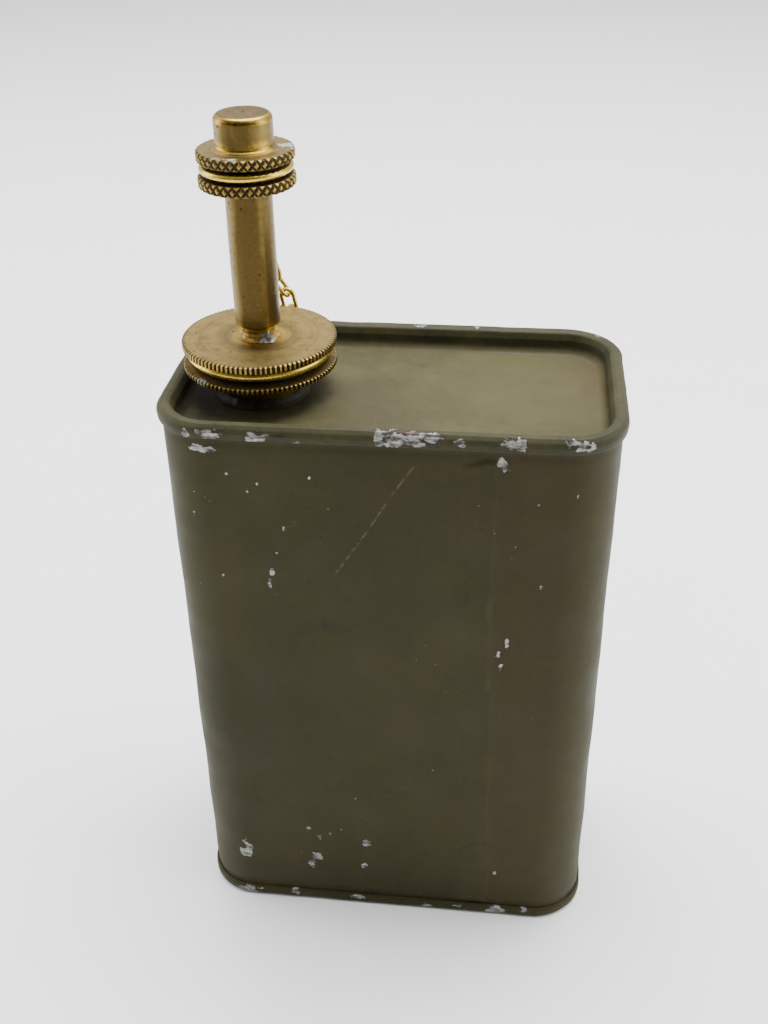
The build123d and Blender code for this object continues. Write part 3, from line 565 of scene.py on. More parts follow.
def panel_mesh(w, d, r, z, thick, hole, st, step=1.1, dish=0.1, seed=4):
    """A flat panel with a hole, dished a little: upper and lower skins and the walls between them."""
    edge, _ = loop_at(w, d, r, st)
    pts = [tuple(p) for p in edge]; loops = [list(range(len(pts)))]
    hl = []
    if hole:
        hx, hy, hr = hole
        nh = 72
        hl = list(range(len(pts), len(pts) + nh)); pts += [(hx + hr * math.cos(TAU * i / nh), hy + hr * math.sin(TAU * i / nh)) for i in range(nh)]
    def inside(x, y, m=0.0):
        qx, qy = max(abs(x) - (w / 2 - r), 0), max(abs(y) - (d / 2 - r), 0)
        return math.hypot(qx, qy) < r - m and (not hole or math.hypot(x - hole[0], y - hole[1]) > hole[2] + m)
    nx, ny = int(w / step), int(d / step)
    for i in range(nx + 1):
        for j in range(ny + 1):
            x, y = -w / 2 + w * i / nx + (step / 2 if j % 2 else 0), -d / 2 + d * j / ny
            if inside(x, y, 0.35):
                pts.append((x, y))
    cons = [(loops[0][i], loops[0][(i + 1) % len(edge)]) for i in range(len(edge))]
    cons += [(hl[i], hl[(i + 1) % len(hl)]) for i in range(len(hl))]
    v2, _, f2, ov, _, _ = delaunay_2d_cdt([Vector(p) for p in pts], cons, [], 0, 1e-7)
    v2 = np.array([tuple(p) for p in v2])
    tri = []
    for f in f2:
        c = v2[list(f)].mean(0)
        if inside(*c, 0.0):
            a, b, cc = v2[f[0]], v2[f[1]], v2[f[2]]
            area = (b[0] - a[0]) * (cc[1] - a[1]) - (b[1] - a[1]) * (cc[0] - a[0])
            tri.append(tuple(f) if area > 0 else tuple(f)[::-1])
    wv = waves(seed, 9, 12, 40)
    qx = np.maximum(np.abs(v2[:, 0]) - (w / 2 - r), 0); qy = np.maximum(np.abs(v2[:, 1]) - (d / 2 - r), 0)
    inner_d = np.where((qx > 0) & (qy > 0), r - np.hypot(qx, qy), np.minimum(w / 2 - np.abs(v2[:, 0]), d / 2 - np.abs(v2[:, 1])))
    hd = np.hypot(v2[:, 0] - hole[0], v2[:, 1] - hole[1]) - hole[2] if hole else np.full(len(v2), 9.0)
    free = sstep(0, 5, inner_d) * sstep(0, 4, hd)
    h = dish * wv(np.c_[v2, np.zeros(len(v2))]) * free
    top = np.c_[v2, z + h]; bot = np.c_[v2, z - thick + h]
    n = len(v2)
    F = list(tri) + [tuple(n + i for i in t[::-1]) for t in tri]
    count = {}
    for t in tri:
        for a, b in ((t[0], t[1]), (t[1], t[2]), (t[2], t[0])):
            count[(a, b)] = 1
    for a, b in list(count):
        if (b, a) not in count:
            F.append((b, a, n + a, n + b))
    return np.r_[top, bot], F, inner_d


# rim section: closed, from the outer lower lip, over the roll, down the recess and back up inside the shell
rim_prof = rounded([(0.62, 106.45), (0.12, 106.45), (0.0, 107.6), (0.12, 108.35), (0.75, 109.0), (1.5, 109.05), (2.3, 108.7), (2.8, 107.6), (3.0, 106.2),
                    (3.9, 105.1), (6.6, 105.1), (6.6, 104.6), (1.42, 104.6), (1.42, 107.9), (0.76, 107.9), (0.76, 106.45)],
                   [0, 0.25, 0.9, 0.6, 0.5, 0.6, 0.6, 0.9, 1.6, 1.9, 0.0, 0, 0.2, 0.1, 0.1, 0], 7)
rim_prof = np.minimum(rim_prof, [99, 109.0])
st_rim = stations(190, 90, 34, 30)
Vr, Fr, n_, m_, Nr = seamed_end("rim", rim_prof, (76.0, 42.0, 10.0), st_rim, 4.4, 105.1, None, "top_plate", "olive_paint_top", PAINT_LIT_TOP, RIM, True)
ins = 6.6
Vp, Fp, ind = panel_mesh(76 - 2 * ins, 42 - 2 * ins, 10 - ins, 105.1, 0.5, (AX, AY, 7.06), st_rim, dish=0.10)
base = len(Vr)
V = np.r_[Vr, Vp]; F = Fr + [tuple(base + i for i in f) for f in Fp]
chip = np.zeros(len(V)); stain_and_shade = np.zeros(len(V)); wear_and_highlight = np.zeros(len(V)); scr = np.zeros(len(V))
for x, y, z, w_, h_ in RIM:
    # distance along the rim and round the roll
    dx = np.hypot(V[:, 0] - x, np.where(abs(y) > 20, 0, (V[:, 1] - y))); side = np.sign(y) * V[:, 1] > 12 if abs(y) > 15 else np.sign(x) * V[:, 0] > 30
    dz = np.hypot(V[:, 2] - z, np.where(abs(y) > 20, V[:, 1] - np.sign(y) * 20.9, 0) * 0.7)
    d_ = np.sqrt((dx / (w_ + 0.10)) ** 2 + (dz / (h_ + 0.10)) ** 2)
    chip = np.maximum(chip, np.clip(1.12 - 0.62 * d_, 0, 1.1) * side)
isrim = np.r_[np.ones(len(Vr)), np.zeros(len(Vp))]
# a dark rubbed streak beside the third chip, painted shade where the wall meets the panel and painted shadow round the
# neck under the cap
stain_and_shade = np.maximum(stain_and_shade, 0.95 * (V[:, 1] < -18) * np.exp(-((V[:, 0] + 16.2) / 2.0) ** 2 - ((V[:, 2] - 107.7) / 0.35) ** 2))
stain_and_shade = np.maximum(stain_and_shade, 0.6 * (V[:, 1] < -18) * np.exp(-((V[:, 0] + 10.8) / 3.5) ** 2 - ((V[:, 2] - 107.3) / 0.3) ** 2))
# darker on the lower rim and at the rim's left end
stain_and_shade = np.maximum(stain_and_shade, 0.22 * sstep(106.9, 106.4, V[:, 2]) * isrim)
stain_and_shade = np.maximum(stain_and_shade, 0.30 * sstep(-34.5, -36.5, V[:, 0]) * isrim)
rr = np.hypot(V[:, 0] - AX, V[:, 1] - AY)
# painted shadow of the filler cap round the neck
stain_and_shade = np.maximum(stain_and_shade, 0.56 * sstep(17.0, 9, rr) * sstep(106.4, 105.2, V[:, 2]))
# darker at the left end of the recess
corner = np.exp(-(np.clip(V[:, 0] + 31.0, 0, None) / 5.5) ** 2) * sstep(108.4, 106.2, V[:, 2]) * (np.abs(V[:, 1]) < 18.3) * (V[:, 0] > -35.6)
stain_and_shade = np.maximum(stain_and_shade, 0.66 * corner)
# painted shade along the crease where the recess wall meets the panel
wallline = sstep(107.6, 106.4, V[:, 2]) * sstep(105.1, 105.7, V[:, 2]) * (np.abs(V[:, 0]) < 35.4) * (np.abs(V[:, 1]) < 18.4)
stain_and_shade = np.maximum(stain_and_shade, 0.27 * wallline)
for x, y, a, s_ in ((4.2, -6.3, 0.95, 0.55), (-29.2, -10.7, 0.8, 0.5), (-25.3, -10.0, 0.75, 0.6), (-32.5, -9.0, 0.7, 0.8), (8.3, -3.2, 0.6, 0.35), (21, -1.0, 0.5, 0.3), (1.0, 3.2, 0.55, 0.4), (30.6, 0.5, 0.6, 0.5), (15, 9, 0.45, 0.3)):
    stain_and_shade = np.maximum(stain_and_shade, a * np.exp(-((V[:, 0] - x) ** 2 + (V[:, 1] - y) ** 2) / s_ ** 2) * (1 - isrim))
stain_and_shade = np.maximum(stain_and_shade, 0.36 * (1 - isrim) * np.exp(-((V[:, 0] - 2) / 6) ** 2 - ((V[:, 1] - 12) / 5) ** 2))
inset = 38.0 - np.maximum(np.abs(V[:, 0]), np.abs(V[:, 1]) + 17.0)
# painted highlight: the top of the rim roll is lightened
wear_and_highlight = np.where(isrim > 0, 0.30 * sstep(107.9, 109.0, V[:, 2]), 0.0)
# painted shade: the rim roll and recess wall take the darker side colour
painted_shade = isrim * np.maximum(sstep(105.5, 106.3, V[:, 2]), 0) * 1.0
flat = sstep(105.9, 105.15, V[:, 2])
warm = 0.2 + 0.5 * isrim * sstep(107.5, 106.0, V[:, 2]) * (1 - flat) + 0.45 * sstep(18, 33, V[:, 0])
make("top_plate_seamed", V, F, "tin", ["top_plate"], PAINT_LIT_TOP, {"chip": chip, "stain_and_shade": stain_and_shade, "wear_and_highlight": wear_and_highlight, "scratch": scr, "painted_shade": painted_shade, "warm": warm}, sharp=50)

# foot: the rolled seam round the bottom and the recessed base
foot_prof = rounded([(0.46, 2.6), (0.20, 2.6), (0.0, 1.9), (0.05, 0.7), (0.5, 0.0), (1.6, 0.0), (2.3, 0.35), (2.45, 1.2), (2.6, 1.9), (3.9, 2.2), (3.9, 2.7), (2.5, 2.8), (1.6, 3.2), (1.08, 3.2), (1.08, 0.88), (0.46, 0.88)],
                    [0, 0.2, 0.4, 0.5, 0.6, 0.5, 0.5, 0.4, 0.5, 0, 0, 0.3, 0.2, 0.1, 0.05, 0.05], 4)
foot_prof = np.maximum(foot_prof, [-1, 0.0])
Vr, Fr, n_, m_, Nr = seamed_end("foot", foot_prof, (75.4, 41.4, 9.7), st_rim, 3.9, 2.2, None, "bottom_plate", "olive_paint", PAINT, FOOT, False)
Vr[:, 2] = np.clip(Vr[:, 2], 0, 3.2)
Vp, Fp, ind = panel_mesh(75.4 - 7.8, 41.4 - 7.8, 9.7 - 3.9, 2.7, 0.5, None, st_rim, step=1.6, dish=0.10, seed=9)
base = len(Vr)
V = np.r_[Vr, Vp]; F = Fr + [tuple(base + i for i in f) for f in Fp]
chip = np.zeros(len(V))
for x, z, w_, h_ in FOOT:
    d_ = np.sqrt(((V[:, 0] - x) / (w_ + 0.15)) ** 2 + ((V[:, 2] - z) / (h_ + 0.2)) ** 2)
    chip = np.maximum(chip, np.clip(1.15 - 0.62 * d_, 0, 1.1) * (V[:, 1] < -18.6))
chip = np.maximum(chip, 0.22 * sstep(1.0, 0.1, V[:, 2]) * (np.abs(V[:, 1]) > 15))
fs = waves(31, 8, 5, 18)(V)
chip = np.maximum(chip, np.where((V[:, 2] < 1.0) & (V[:, 1] > 10), 0.32 + 0.25 * fs, 0))
# darker just above the foot roll and along the bottom edge
stain_and_shade = 0.45 * sstep(1.6, 2.6, V[:, 2]) * (np.abs(V[:, 2] - 2.6) < 1) + 0.25 * sstep(0.6, 0.0, V[:, 2])
make("bottom_plate_seamed", V, F, "tin", ["bottom_plate"], PAINT, {"chip": chip, "stain_and_shade": stain_and_shade, "wear_and_highlight": 0.3 * sstep(2.2, 1.2, V[:, 2]), "scratch": np.zeros(len(V)), "warm": 0.4 + 0 * V[:, 0]}, sharp=50)

# ------------------------------------------------------------ brass turnings
PITCH = 0.977


def thread(depth, z0, z1, r_at, r_tol=0.05, inside=False):
    """Radius change for a V thread on the length z0 to z1 of a cylinder of radius r_at."""
    def f(T, R, Z):
        m = (np.abs(R - r_at) < r_tol) * sstep(z0, z0 + 0.5, Z) * sstep(z1, z1 - 0.5, Z)
        ph = (T / TAU - Z / PITCH) % 1.0
        v = np.abs(2 * ph - 1)
        return (depth if inside else -depth) * m * np.clip(v * 1.35 - 0.12, 0, 1)
    return f


def attrs(T, R, Z, grime_and_shade=0.0, gold_and_glint=0.0, verd=0.0, patina_and_dark_reflection=0.0):
    n = len(T)
    return {"grime_and_shade": np.zeros(n) + grime_and_shade, "gold_and_glint": np.zeros(n) + gold_and_glint, "verd": np.zeros(n) + verd, "patina_and_dark_reflection": np.zeros(n) + patina_and_dark_reflection}


def around(T, mid, half):
    """1 near the bearing mid, in degrees, falling to 0 half degrees away."""
    a = np.abs((np.degrees(T) - mid + 180) % 360 - 180)
    return sstep(half, half * 0.35, a)


# threaded neck bush
prof = refine(rounded([(5.40, 103.55), (5.7, 103.2), (7.0, 103.2), (7.0, 109.6), (5.8, 109.6), (5.40, 109.2), (5.40, 103.55)], [0, 0.1, 0.15, 0.3, 0.15, 0.1, 0], 4), 0.16)[:-1]
V, F, T, R, Z = lathe(prof, 128, thread(0.30, 103.6, 109.3, 5.40, inside=True), closed=True)
# painted shade in the bore, with light grime all over
make("filler_neck_bush", V, F, "tin", ["filler_neck"], BRASS, attrs(T, R, Z, grime_and_shade=0.55 * (R < 5.9) + 0.25, gold_and_glint=0.3), sharp=45)

# solder fillet round the bush
sol = waves(41, 9, 2.0, 7.0)
prof = rounded([(7.02, 105.12), (8.45, 105.12), (7.75, 105.55), (7.25, 106.1), (7.02, 106.4), (7.02, 105.12)], [0, 0.1, 0.5, 0.4, 0.05, 0], 5)[:-1]
def lump(T, R, Z):
    q = sol(np.stack([9 * np.cos(T), 9 * np.sin(T), Z], -1))
    out = sstep(7.02, 7.5, R)
    return 0.14 * q * out, 0.08 * q * sstep(105.12, 105.5, Z) * (R > 7.03)
V, F, T, R, Z = lathe(refine(prof, 0.25), 120, lump, closed=True)
V[:, 2] = np.maximum(V[:, 2], 105.12)
# painted shadow under the filler cap: the solder fillet is darkened
make("neck_solder_fillet", V, F, "tin", ["neck_solder"], PAINT_LIT_TOP, {"stain_and_shade": 0.62 + 0 * V[:, 0], "painted_shade": 0.9 + 0 * V[:, 0], "warm": 0.5 + 0 * V[:, 0]})

# leather washers
def soft(seed, amp):
    w = waves(seed, 8, 2.0, 6.0)
    return lambda T, R, Z: (amp * w(np.stack([R * np.cos(T), R * np.sin(T), Z], -1)) * (R > 5.6), 0 * R)
prof = refine(rounded([(5.42, 109.62), (6.88, 109.62), (6.88, 110.28), (5.42, 110.28), (5.42, 109.62)], [0, 0.2, 0.2, 0.1, 0], 4), 0.3)[:-1]
V, F, T, R, Z = lathe(prof, 96, soft(51, 0.04), closed=True)
make("filler_washer_leather", V, F, "filler_washer", ["filler_washer"], LEATHER, None)
prof = refine(rounded([(0.0, 146.64), (2.93, 146.64), (2.93, 147.16), (0.0, 147.16)], [0, 0.18, 0.18, 0], 4), 0.3)
prof[:, 1] += 0.03 * (prof[:, 1] > 146.9) * 0
V, F, T, R, Z = lathe(prof, 72)
V, F, _ = weld(V, F, {})
make("spout_washer_leather", V, F, "spout_washer", ["spout_washer"], LEATHER, None)

# filler cap: bobbin with straight-knurled flanges and a threaded, hollow spigot
CZ = (110.3, 111.2, 113.8, 115.1)
prof = rounded([
    (1.12, 110.55), (3.2, 110.5), (3.2, 103.2), (3.5, 102.9), (4.95, 102.9), (5.32, 103.25), (5.32, 109.5), (4.95, 109.75), (4.95, 110.3), (12.6, 110.3), (12.85, 110.42), (12.85, 111.08), (12.6, 111.2),
    (12.2, 111.2), (10.2, 111.25), (10.2, 113.75), (12.2, 113.8), (12.6, 113.8), (12.85, 113.93), (12.85, 114.95), (12.55, 115.1), (2.64, 115.1), (2.64, 112.6), (1.12, 112.6)],
    [0, 0.1, 0.1, 0.15, 0.15, 0.15, 0.15, 0.15, 0.15, 0.12, 0.06, 0.06, 0.12, 0, 0.3, 0.3, 0, 0.12, 0.06, 0.06, 0.15, 0.1, 0, 0], 3)
prof = np.r_[refine(prof, 0.35), prof[:1]][:-1]
NT = 100
thr = thread(0.34, 103.2, 109.6, 5.32)
def knurl(T, R, Z):
    t = np.abs(((T * NT / TAU) % 1.0) - 0.5) * 2          # 1 on the groove line, 0 on the crest
    jit = 0.06 * np.sin(T * 7 + 1) + 0.04 * np.sin(T * 23)
    g = sstep(0.42 + jit, 0.86 + jit, t)
    return -0.36 * g * sstep(12.25, 12.55, R) + thr(T, R, Z)
prof_f = []
V, F, T, R, Z = lathe(refine(prof, 0.35), 1200, knurl, closed=True)
t = np.abs(((T * NT / TAU) % 1.0) - 0.5) * 2
onflange = sstep(12.0, 12.3, R)
tilt = waves(61, 7, 5, 16)(V)
# dirt and painted shade in the knurl grooves
grime_and_shade = 1.05 * onflange * sstep(0.35, 0.8, t)
# painted shade in the groove between the flanges, deeper towards the core
grime_and_shade = np.maximum(grime_and_shade, np.where((Z > 111.15) & (Z < 113.9) & (R < 12.3), 0.20 + 0.60 * sstep(11.9, 10.6, R) + 0.5 * np.exp(-((R - 12.05) / 0.10) ** 2), 0))
# painted shade inside the spigot
grime_and_shade = np.maximum(grime_and_shade, np.where((Z < 109.7) & (R < 5.2), 0.8, 0))
grime_and_shade = np.maximum(grime_and_shade, 0.22 * (Z > 115.0) * sstep(10, 12, R) * (tilt > 0.1))
grime_and_shade = np.maximum(grime_and_shade, 0.30 * (Z > 115.0) * np.exp(-((R - 8.3) / 0.12) ** 2) * (tilt > -0.3))
gold_and_glint = np.where(Z > 115.0, 0.9 * sstep(6.4, 2.9, R), 0) + 0.60 * onflange * (t < 0.3) + 0.15 * np.where(Z > 115, tilt, 0)
ang = np.degrees(np.arctan2(V[:, 1] - AY, V[:, 0] - AX))
verd = np.where((Z < 111.3) & (R > 11.9), np.exp(-((ang + 128) / 9) ** 2) * 0.95, 0) + np.where((Z < 111.3) & (R > 12.2), np.exp(-((ang + 150) / 6) ** 2) * 0.5, 0)
# painted light on up-facing tops: the disc's top and the lower flange's upper face, with pale crests
pale_and_lit_top = np.where(Z > 115.0, 0.85 * sstep(4.6, 7.5, R), 0) + np.where((Z > 111.1) & (Z < 111.3) & (R > 10.5), 0.8, 0) + 0.35 * onflange * (t < 0.3) * (Z < 112)
V, F, A = weld(V, F, {"grime_and_shade": grime_and_shade, "gold_and_glint": gold_and_glint, "verd": verd, "pale_and_lit_top": pale_and_lit_top})
make("filler_cap_knurled", V, F, "filler", ["filler_cap"], BRASS, A, sharp=40)

# pouring spout with its waisted foot and threaded nozzle
prof = rounded([(1.1, 112.6), (2.6, 112.6), (2.6, 117.0), (3.25, 117.35), (3.74, 117.65), (3.74, 140.2), (3.59, 140.35), (3.0, 140.35), (3.0, 145.5), (2.6, 145.9), (1.9, 145.9), (1.6, 146.6), (1.1, 146.6), (1.1, 112.6)],
               [0, 0.1, 0.5, 0.2, 0.2, 0.15, 0.1, 0.1, 0.15, 0.15, 0.1, 0.15, 0.1, 0], 4)[:-1]
th2 = thread(0.32, 140.5, 145.8, 3.0)
bend = waves(71, 8, 5, 20)
V, F, T, R, Z = lathe(refine(prof, 0.14), 120, lambda T, R, Z: th2(T, R, Z) + 0.025 * bend(np.stack([R * np.cos(T), R * np.sin(T), Z], -1)) * (np.abs(R - 3.74) < 0.02), closed=True)
gold_and_glint = 1.1 * sstep(118.6, 117.0, Z) * (R > 2) + 0.25 * sstep(130, 118, Z) + 0.3 * sstep(140.0, 141.0, Z)
# painted shade under the waist shoulder, in the thread roots, under the cap and in the bore
grime_and_shade = 0.6 * sstep(117.9, 117.5, Z) * sstep(117.0, 117.4, Z) * (R > 2.5) + 0.8 * (Z > 140.4) * (R < 2.85) * (R > 1.5) * (Z < 145.8) + 0.45 * sstep(139.2, 140.3, Z) * (R > 3.2) + 0.9 * (R < 1.3)
# painted dark reflection: dark bands on the front and front right of the stem, over an even patina
patina_and_dark_reflection = (np.abs(R - 3.74) < 0.1) * (0.32 + 0.95 * around(T, -88, 44) + 0.50 * around(T, -30, 34)) * (0.75 + 0.25 * sstep(140, 128, Z))
# a painted highlight stripe down the front right of the stem
make("spout_tube_turned", V, F, "filler", ["spout_tube"], BRASS, attrs(T, R, Z, grime_and_shade=grime_and_shade, gold_and_glint=gold_and_glint + 0.30 * (np.abs(R - 3.74) < 0.1) * around(T, -55, 16), verd=0.35 * sstep(118.2, 117.4, Z) * (R > 2.4), patina_and_dark_reflection=patina_and_dark_reflection), sharp=45)

# solder round the waist: a thin fillet with one thick drip at the front right
prof = rounded([(2.62, 115.12), (4.05, 115.12), (3.3, 115.4), (2.85, 115.9), (2.62, 116.5), (2.62, 115.12)], [0, 0.08, 0.5, 0.5, 0.05, 0], 5)[:-1]
sp = waves(81, 9, 1.2, 4.5)
def drip(T, R, Z):
    q = sp(np.stack([4 * np.cos(T), 4 * np.sin(T), 2 * Z], -1))
    a = np.degrees((T + math.pi) % TAU - math.pi)
    near = np.exp(-((a + 47) / 17) ** 2)
    out = sstep(2.62, 2.9, R)
    return (0.10 * q - 0.35 * (1 - near) + 0.62 * near) * out * sstep(2.62, 3.3, R), (0.16 * near * q + 0.22 * near - 0.3 * (1 - near)) * sstep(115.12, 115.6, Z) * (R > 2.65)
V, F, T, R, Z = lathe(refine(prof, 0.16), 140, drip, closed=True)
V[:, 2] = np.maximum(V[:, 2], 115.12)
an = np.degrees(np.arctan2(V[:, 1] - AY, V[:, 0] - AX))
make("spout_solder_drip", V, F, "filler", ["spout_solder"], SOLDER, {"blob": 1.1 * np.exp(-((an + 52) / 24) ** 2)})

# spout cap: bobbin with diamond-knurled flanges and a knob with a lathe centre
SZ = (140.45, 142.15, 144.46, 146.1)
prof = rounded([
    (0.0, 147.2), (3.07, 147.2), (3.07, 140.85), (3.45, 140.45), (7.34, 140.45), (7.64, 140.65), (7.64, 141.95), (7.34, 142.15), (6.9, 142.15), (5.95, 142.2), (5.95, 144.4), (6.9, 144.46), (7.34, 144.46),
    (7.64, 144.66), (7.64, 145.9), (7.34, 146.1), (6.9, 146.14), (5.5, 146.16), (4.55, 146.5), (4.55, 151.4), (0.32, 151.4), (0.0, 151.15)],
    [0, 0.1, 0.15, 0.15, 0.15, 0.12, 0.12, 0.1, 0, 0.2, 0.2, 0, 0.1, 0.12, 0.12, 0.15, 0, 0.7, 0.5, 1.05, 0.08, 0], 6)
ND = 36
def diamond(T, R, Z):
    s = T * ND / TAU
    zc = np.where(Z < 143.3, 141.3, 145.28)
    k = 0.62
    u1 = np.abs(((s + k * (Z - zc)) % 1.0) - 0.5) * 2
    u2 = np.abs(((s - k * (Z - zc)) % 1.0) - 0.5) * 2
    return u1, u2
def knurl2(T, R, Z):
    u1, u2 = diamond(T, R, Z)
    g = 1 - np.minimum(1, np.minimum(1 - u1, 1 - u2) * 1.9)
    on = sstep(7.18, 7.42, R) * ((Z < 142.3) | (Z > 144.3))
    return -0.36 * g * on
th3 = thread(0.24, 141.0, 146.6, 3.07, inside=True)
V, F, T, R, Z = lathe(refine(prof, 0.16), 720, lambda T, R, Z: knurl2(T, R, Z) + th3(T, R, Z))
u1, u2 = diamond(T, R, Z)
g = 1 - np.minimum(1, np.minimum(1 - u1, 1 - u2) * 1.9)
on = sstep(7.05, 7.3, R) * ((Z < 142.3) | (Z > 144.3))
wv = waves(91, 8, 3, 9)(V)
# dirt and painted shade in the knurl grooves; painted shade in the groove between the flanges, in the bore and in the
# lathe centre
grime_and_shade = 1.15 * g * on
grime_and_shade = np.maximum(grime_and_shade, np.where((Z > 142.12) & (Z < 144.5) & (R < 7.2), 0.85, 0))
grime_and_shade = np.maximum(grime_and_shade, np.where((R < 3.3) & (Z < 147.3), 0.7, 0))
grime_and_shade = np.maximum(grime_and_shade, np.where((R < 0.4) & (Z > 150.8), 0.9, 0))
grime_and_shade = np.maximum(grime_and_shade, 0.30 * ((Z > 146.0) & (Z < 147) & (R > 4.8)) * sstep(0.0, 0.6, wv))
# painted highlights at the knob's base, front left and front right
gold_and_glint = (0.45 + 0.85 * around(T, -135, 34) + 0.85 * around(T, -45, 30)) * sstep(148.1, 146.4, Z) * sstep(5.7, 4.8, R) * (Z > 146.0) + 0.25 * ((Z > 147) & (Z < 150.6)) + 0.8 * ((Z > 150.3) & (Z < 151.32) & (R > 3.7)) + 0.55 * on * (g < 0.2)
gold_and_glint = gold_and_glint - 0.5 * ((Z > 151.3) & (R < 3.7)) - 0.4 * ((Z > 146.0) & (Z < 146.4) & (R > 5.6))
ang = np.degrees(np.arctan2(V[:, 1] - AY, V[:, 0] - AX))
verd = ((Z > 146.0) & (Z < 147.2) & (R > 5.0)) * (0.95 * np.exp(-((ang - 12) / 16) ** 2) + 0.85 * np.exp(-((ang + 95) / 14) ** 2) * (R > 6.2) + 0.7 * np.exp(-((ang + 118) / 10) ** 2) * (R > 6.4)) \
    + 0.55 * on * np.exp(-((ang - 5) / 18) ** 2)
# painted dark reflection on the front of the knob; a darker knob top
patina_and_dark_reflection = ((Z > 146.9) & (Z < 151.1) & (R > 4.2)) * 0.72 * around(T, -92, 60) + 0.75 * ((Z > 151.3) & (R < 4.1))
# painted light on up-facing tops: the knob top and the upper flange's top, with pale crests
pale_and_lit_top = 0.75 * ((Z > 151.3) & (R < 3.9)) + 0.50 * ((Z > 146.0) & (Z < 146.3) & (R > 5.2) & (R < 7.3)) + 0.25 * on * (g < 0.15)
V, F, A = weld(V, F, {"grime_and_shade": grime_and_shade, "gold_and_glint": gold_and_glint, "verd": verd, "patina_and_dark_reflection": patina_and_dark_reflection, "pale_and_lit_top": pale_and_lit_top})
make("spout_cap_knurled", V, F, "spout_cap", ["spout_cap"], BRASS, A, sharp=40)


# ------------------------------------------------------ keeper rings, chain
LOW_EYE, TOP_EYE = (2.6984, 14.4101), (-2.8801, 8.9967)
def keeper(ring_r, wire, z, eye, eye_r, eye_wire, seed):
    """One wire: round the groove, both ends out side by side at the back, joined in an upright eye."""
    er = math.hypot(*eye); a0 = math.atan2(eye[1], eye[0])
    c, s = math.cos(a0), math.sin(a0)
    half = 0.52 if wire > 0.65 else 0.48
    def at(rad, tan, zz):      # radial, tangential, height
        return (AX + c * rad - s * tan, AY + s * rad + c * tan, zz)
    P, Rr = [], []
    d = math.asin(min(0.9, (half + 0.55) / ring_r))
    n = 150
    for i in range(n + 1):
        t = d + (TAU - 2 * d) * i / n
        P.append(at(ring_r * math.cos(t), ring_r * math.sin(t), z)); Rr.append(wire)
    # far side neck (tangential -), over the eye, and back along tangential +
    def neck(sign):
        q = []
        for k in range(1, 6):
            u = k / 6
            rad = ring_r * math.cos(d) + (er - eye_r - ring_r * math.cos(d)) * u
            tan = sign * (half + 0.55 * (1 - u) ** 2.2 - 0.20 * u)
            q.append((at(rad, tan, z + sign * 0.12 * u), wire + (eye_wire - wire) * sstep(0, 0.8, u)))
        return q
    for p, r_ in neck(-1):
        P.append(p); Rr.append(float(r_))
    m = 44
    for k in range(m + 1):
        an = math.pi + TAU * (k + 0.9) / (m + 1.8)
        tw = (0.32) * math.cos(math.pi * k / m)
        P.append(at(er + eye_r * math.cos(an), -tw, z + eye_r * math.sin(an))); Rr.append(eye_wire)
    for p, r_ in neck(+1)[::-1]:
        P.append(p); Rr.append(float(r_))
    P = np.array(P); Rr = np.array(Rr)
    # even spacing
    seg = np.linalg.norm(np.roll(P, -1, 0) - P, axis=1); L = np.r_[0, np.cumsum(seg)]
    Q = np.r_[P, P[:1]]; RQ = np.r_[Rr, Rr[:1]]
    N = int(L[-1] / 0.22); tt = np.linspace(0, L[-1], N, endpoint=False)
    P2 = np.stack([np.interp(tt, L, Q[:, i]) for i in range(3)], -1); R2 = np.interp(tt, L, RQ)
    for _ in range(3):
        P2 = 0.25 * np.roll(P2, 1, 0) + 0.5 * P2 + 0.25 * np.roll(P2, -1, 0)
    w = waves(seed, 6, 4, 12)(P2)
    return P2, R2 * (1 + 0.025 * w)


for nm, body, node, args in (
    ("filler_ring_wire", "filler_ring", "filler_ring", (11.35, 0.80, 112.9, LOW_EYE, 1.15, 0.45, 101)),
    ("spout_ring_wire", "spout_ring", "spout_ring", (6.75, 0.62, 143.25, TOP_EYE, 1.15, 0.45, 102)),
):
    P2, R2 = keeper(*args)
    V, F = tube(P2, R2, 18)
    w = waves(args[-1] + 5, 8, 2, 8)(V)
    rr = np.hypot(V[:, 0] - AX, V[:, 1] - AY)
    # painted shade on the ring's inner side, in the groove
    grime_and_shade = 0.75 * sstep(args[0] - 0.15, args[0] - 0.6, rr) + 0.22 * (w > 0.55)
    make(nm, V, F, body, [node], WIRE, {"grime_and_shade": grime_and_shade, "gold_and_glint": 0.55 + 0.3 * w, "verd": np.zeros(len(V))})

# pivot from the filler axis, direction and normal of each link
LINKS = [
    ((-2.8801, 8.9967, 142.7750), (-0.1777, 0.3620, -0.9151), (-0.2552, 0.8811, 0.3981)),
    ((-3.4488, 10.1551, 139.8468), (-0.2876, 0.5083, -0.8117), (0.9379, 0.3212, -0.1312)),
    ((-4.3692, 11.7817, 137.2494), (-0.3658, 0.5672, -0.7379), (-0.1455, 0.7482, 0.6473)),
    ((-5.5396, 13.5967, 134.8882), (-0.2546, 0.5708, -0.7806), (0.9563, 0.2684, -0.1157)),
    ((-6.3543, 15.4232, 132.3902), (0.0412, 0.4791, -0.8768), (-0.1470, 0.8709, 0.4690)),
    ((-6.2225, 16.9563, 129.5846), (0.4025, 0.2499, -0.8807), (0.9124, -0.0321, 0.4079)),
    ((-4.9345, 17.7558, 126.7666), (0.5856, -0.0495, -0.8091), (0.0848, 0.9964, 0.0005)),
    ((-3.0606, 17.5976, 124.1776), (0.5238, -0.2998, -0.7973), (0.8169, -0.0883, 0.5699)),
    ((-1.3844, 16.6383, 121.6262), (0.4159, -0.3918, -0.8207), (0.3060, 0.9101, -0.2794)),
    ((-0.0536, 15.3846, 119.0000), (0.6120, -0.2471, -0.7513), (0.7574, -0.0906, 0.6467)),
    ((1.9046, 14.5941, 116.5959), (0.2097, -0.0486, -0.9766), (0.1860, 0.9825, -0.0090)),
]
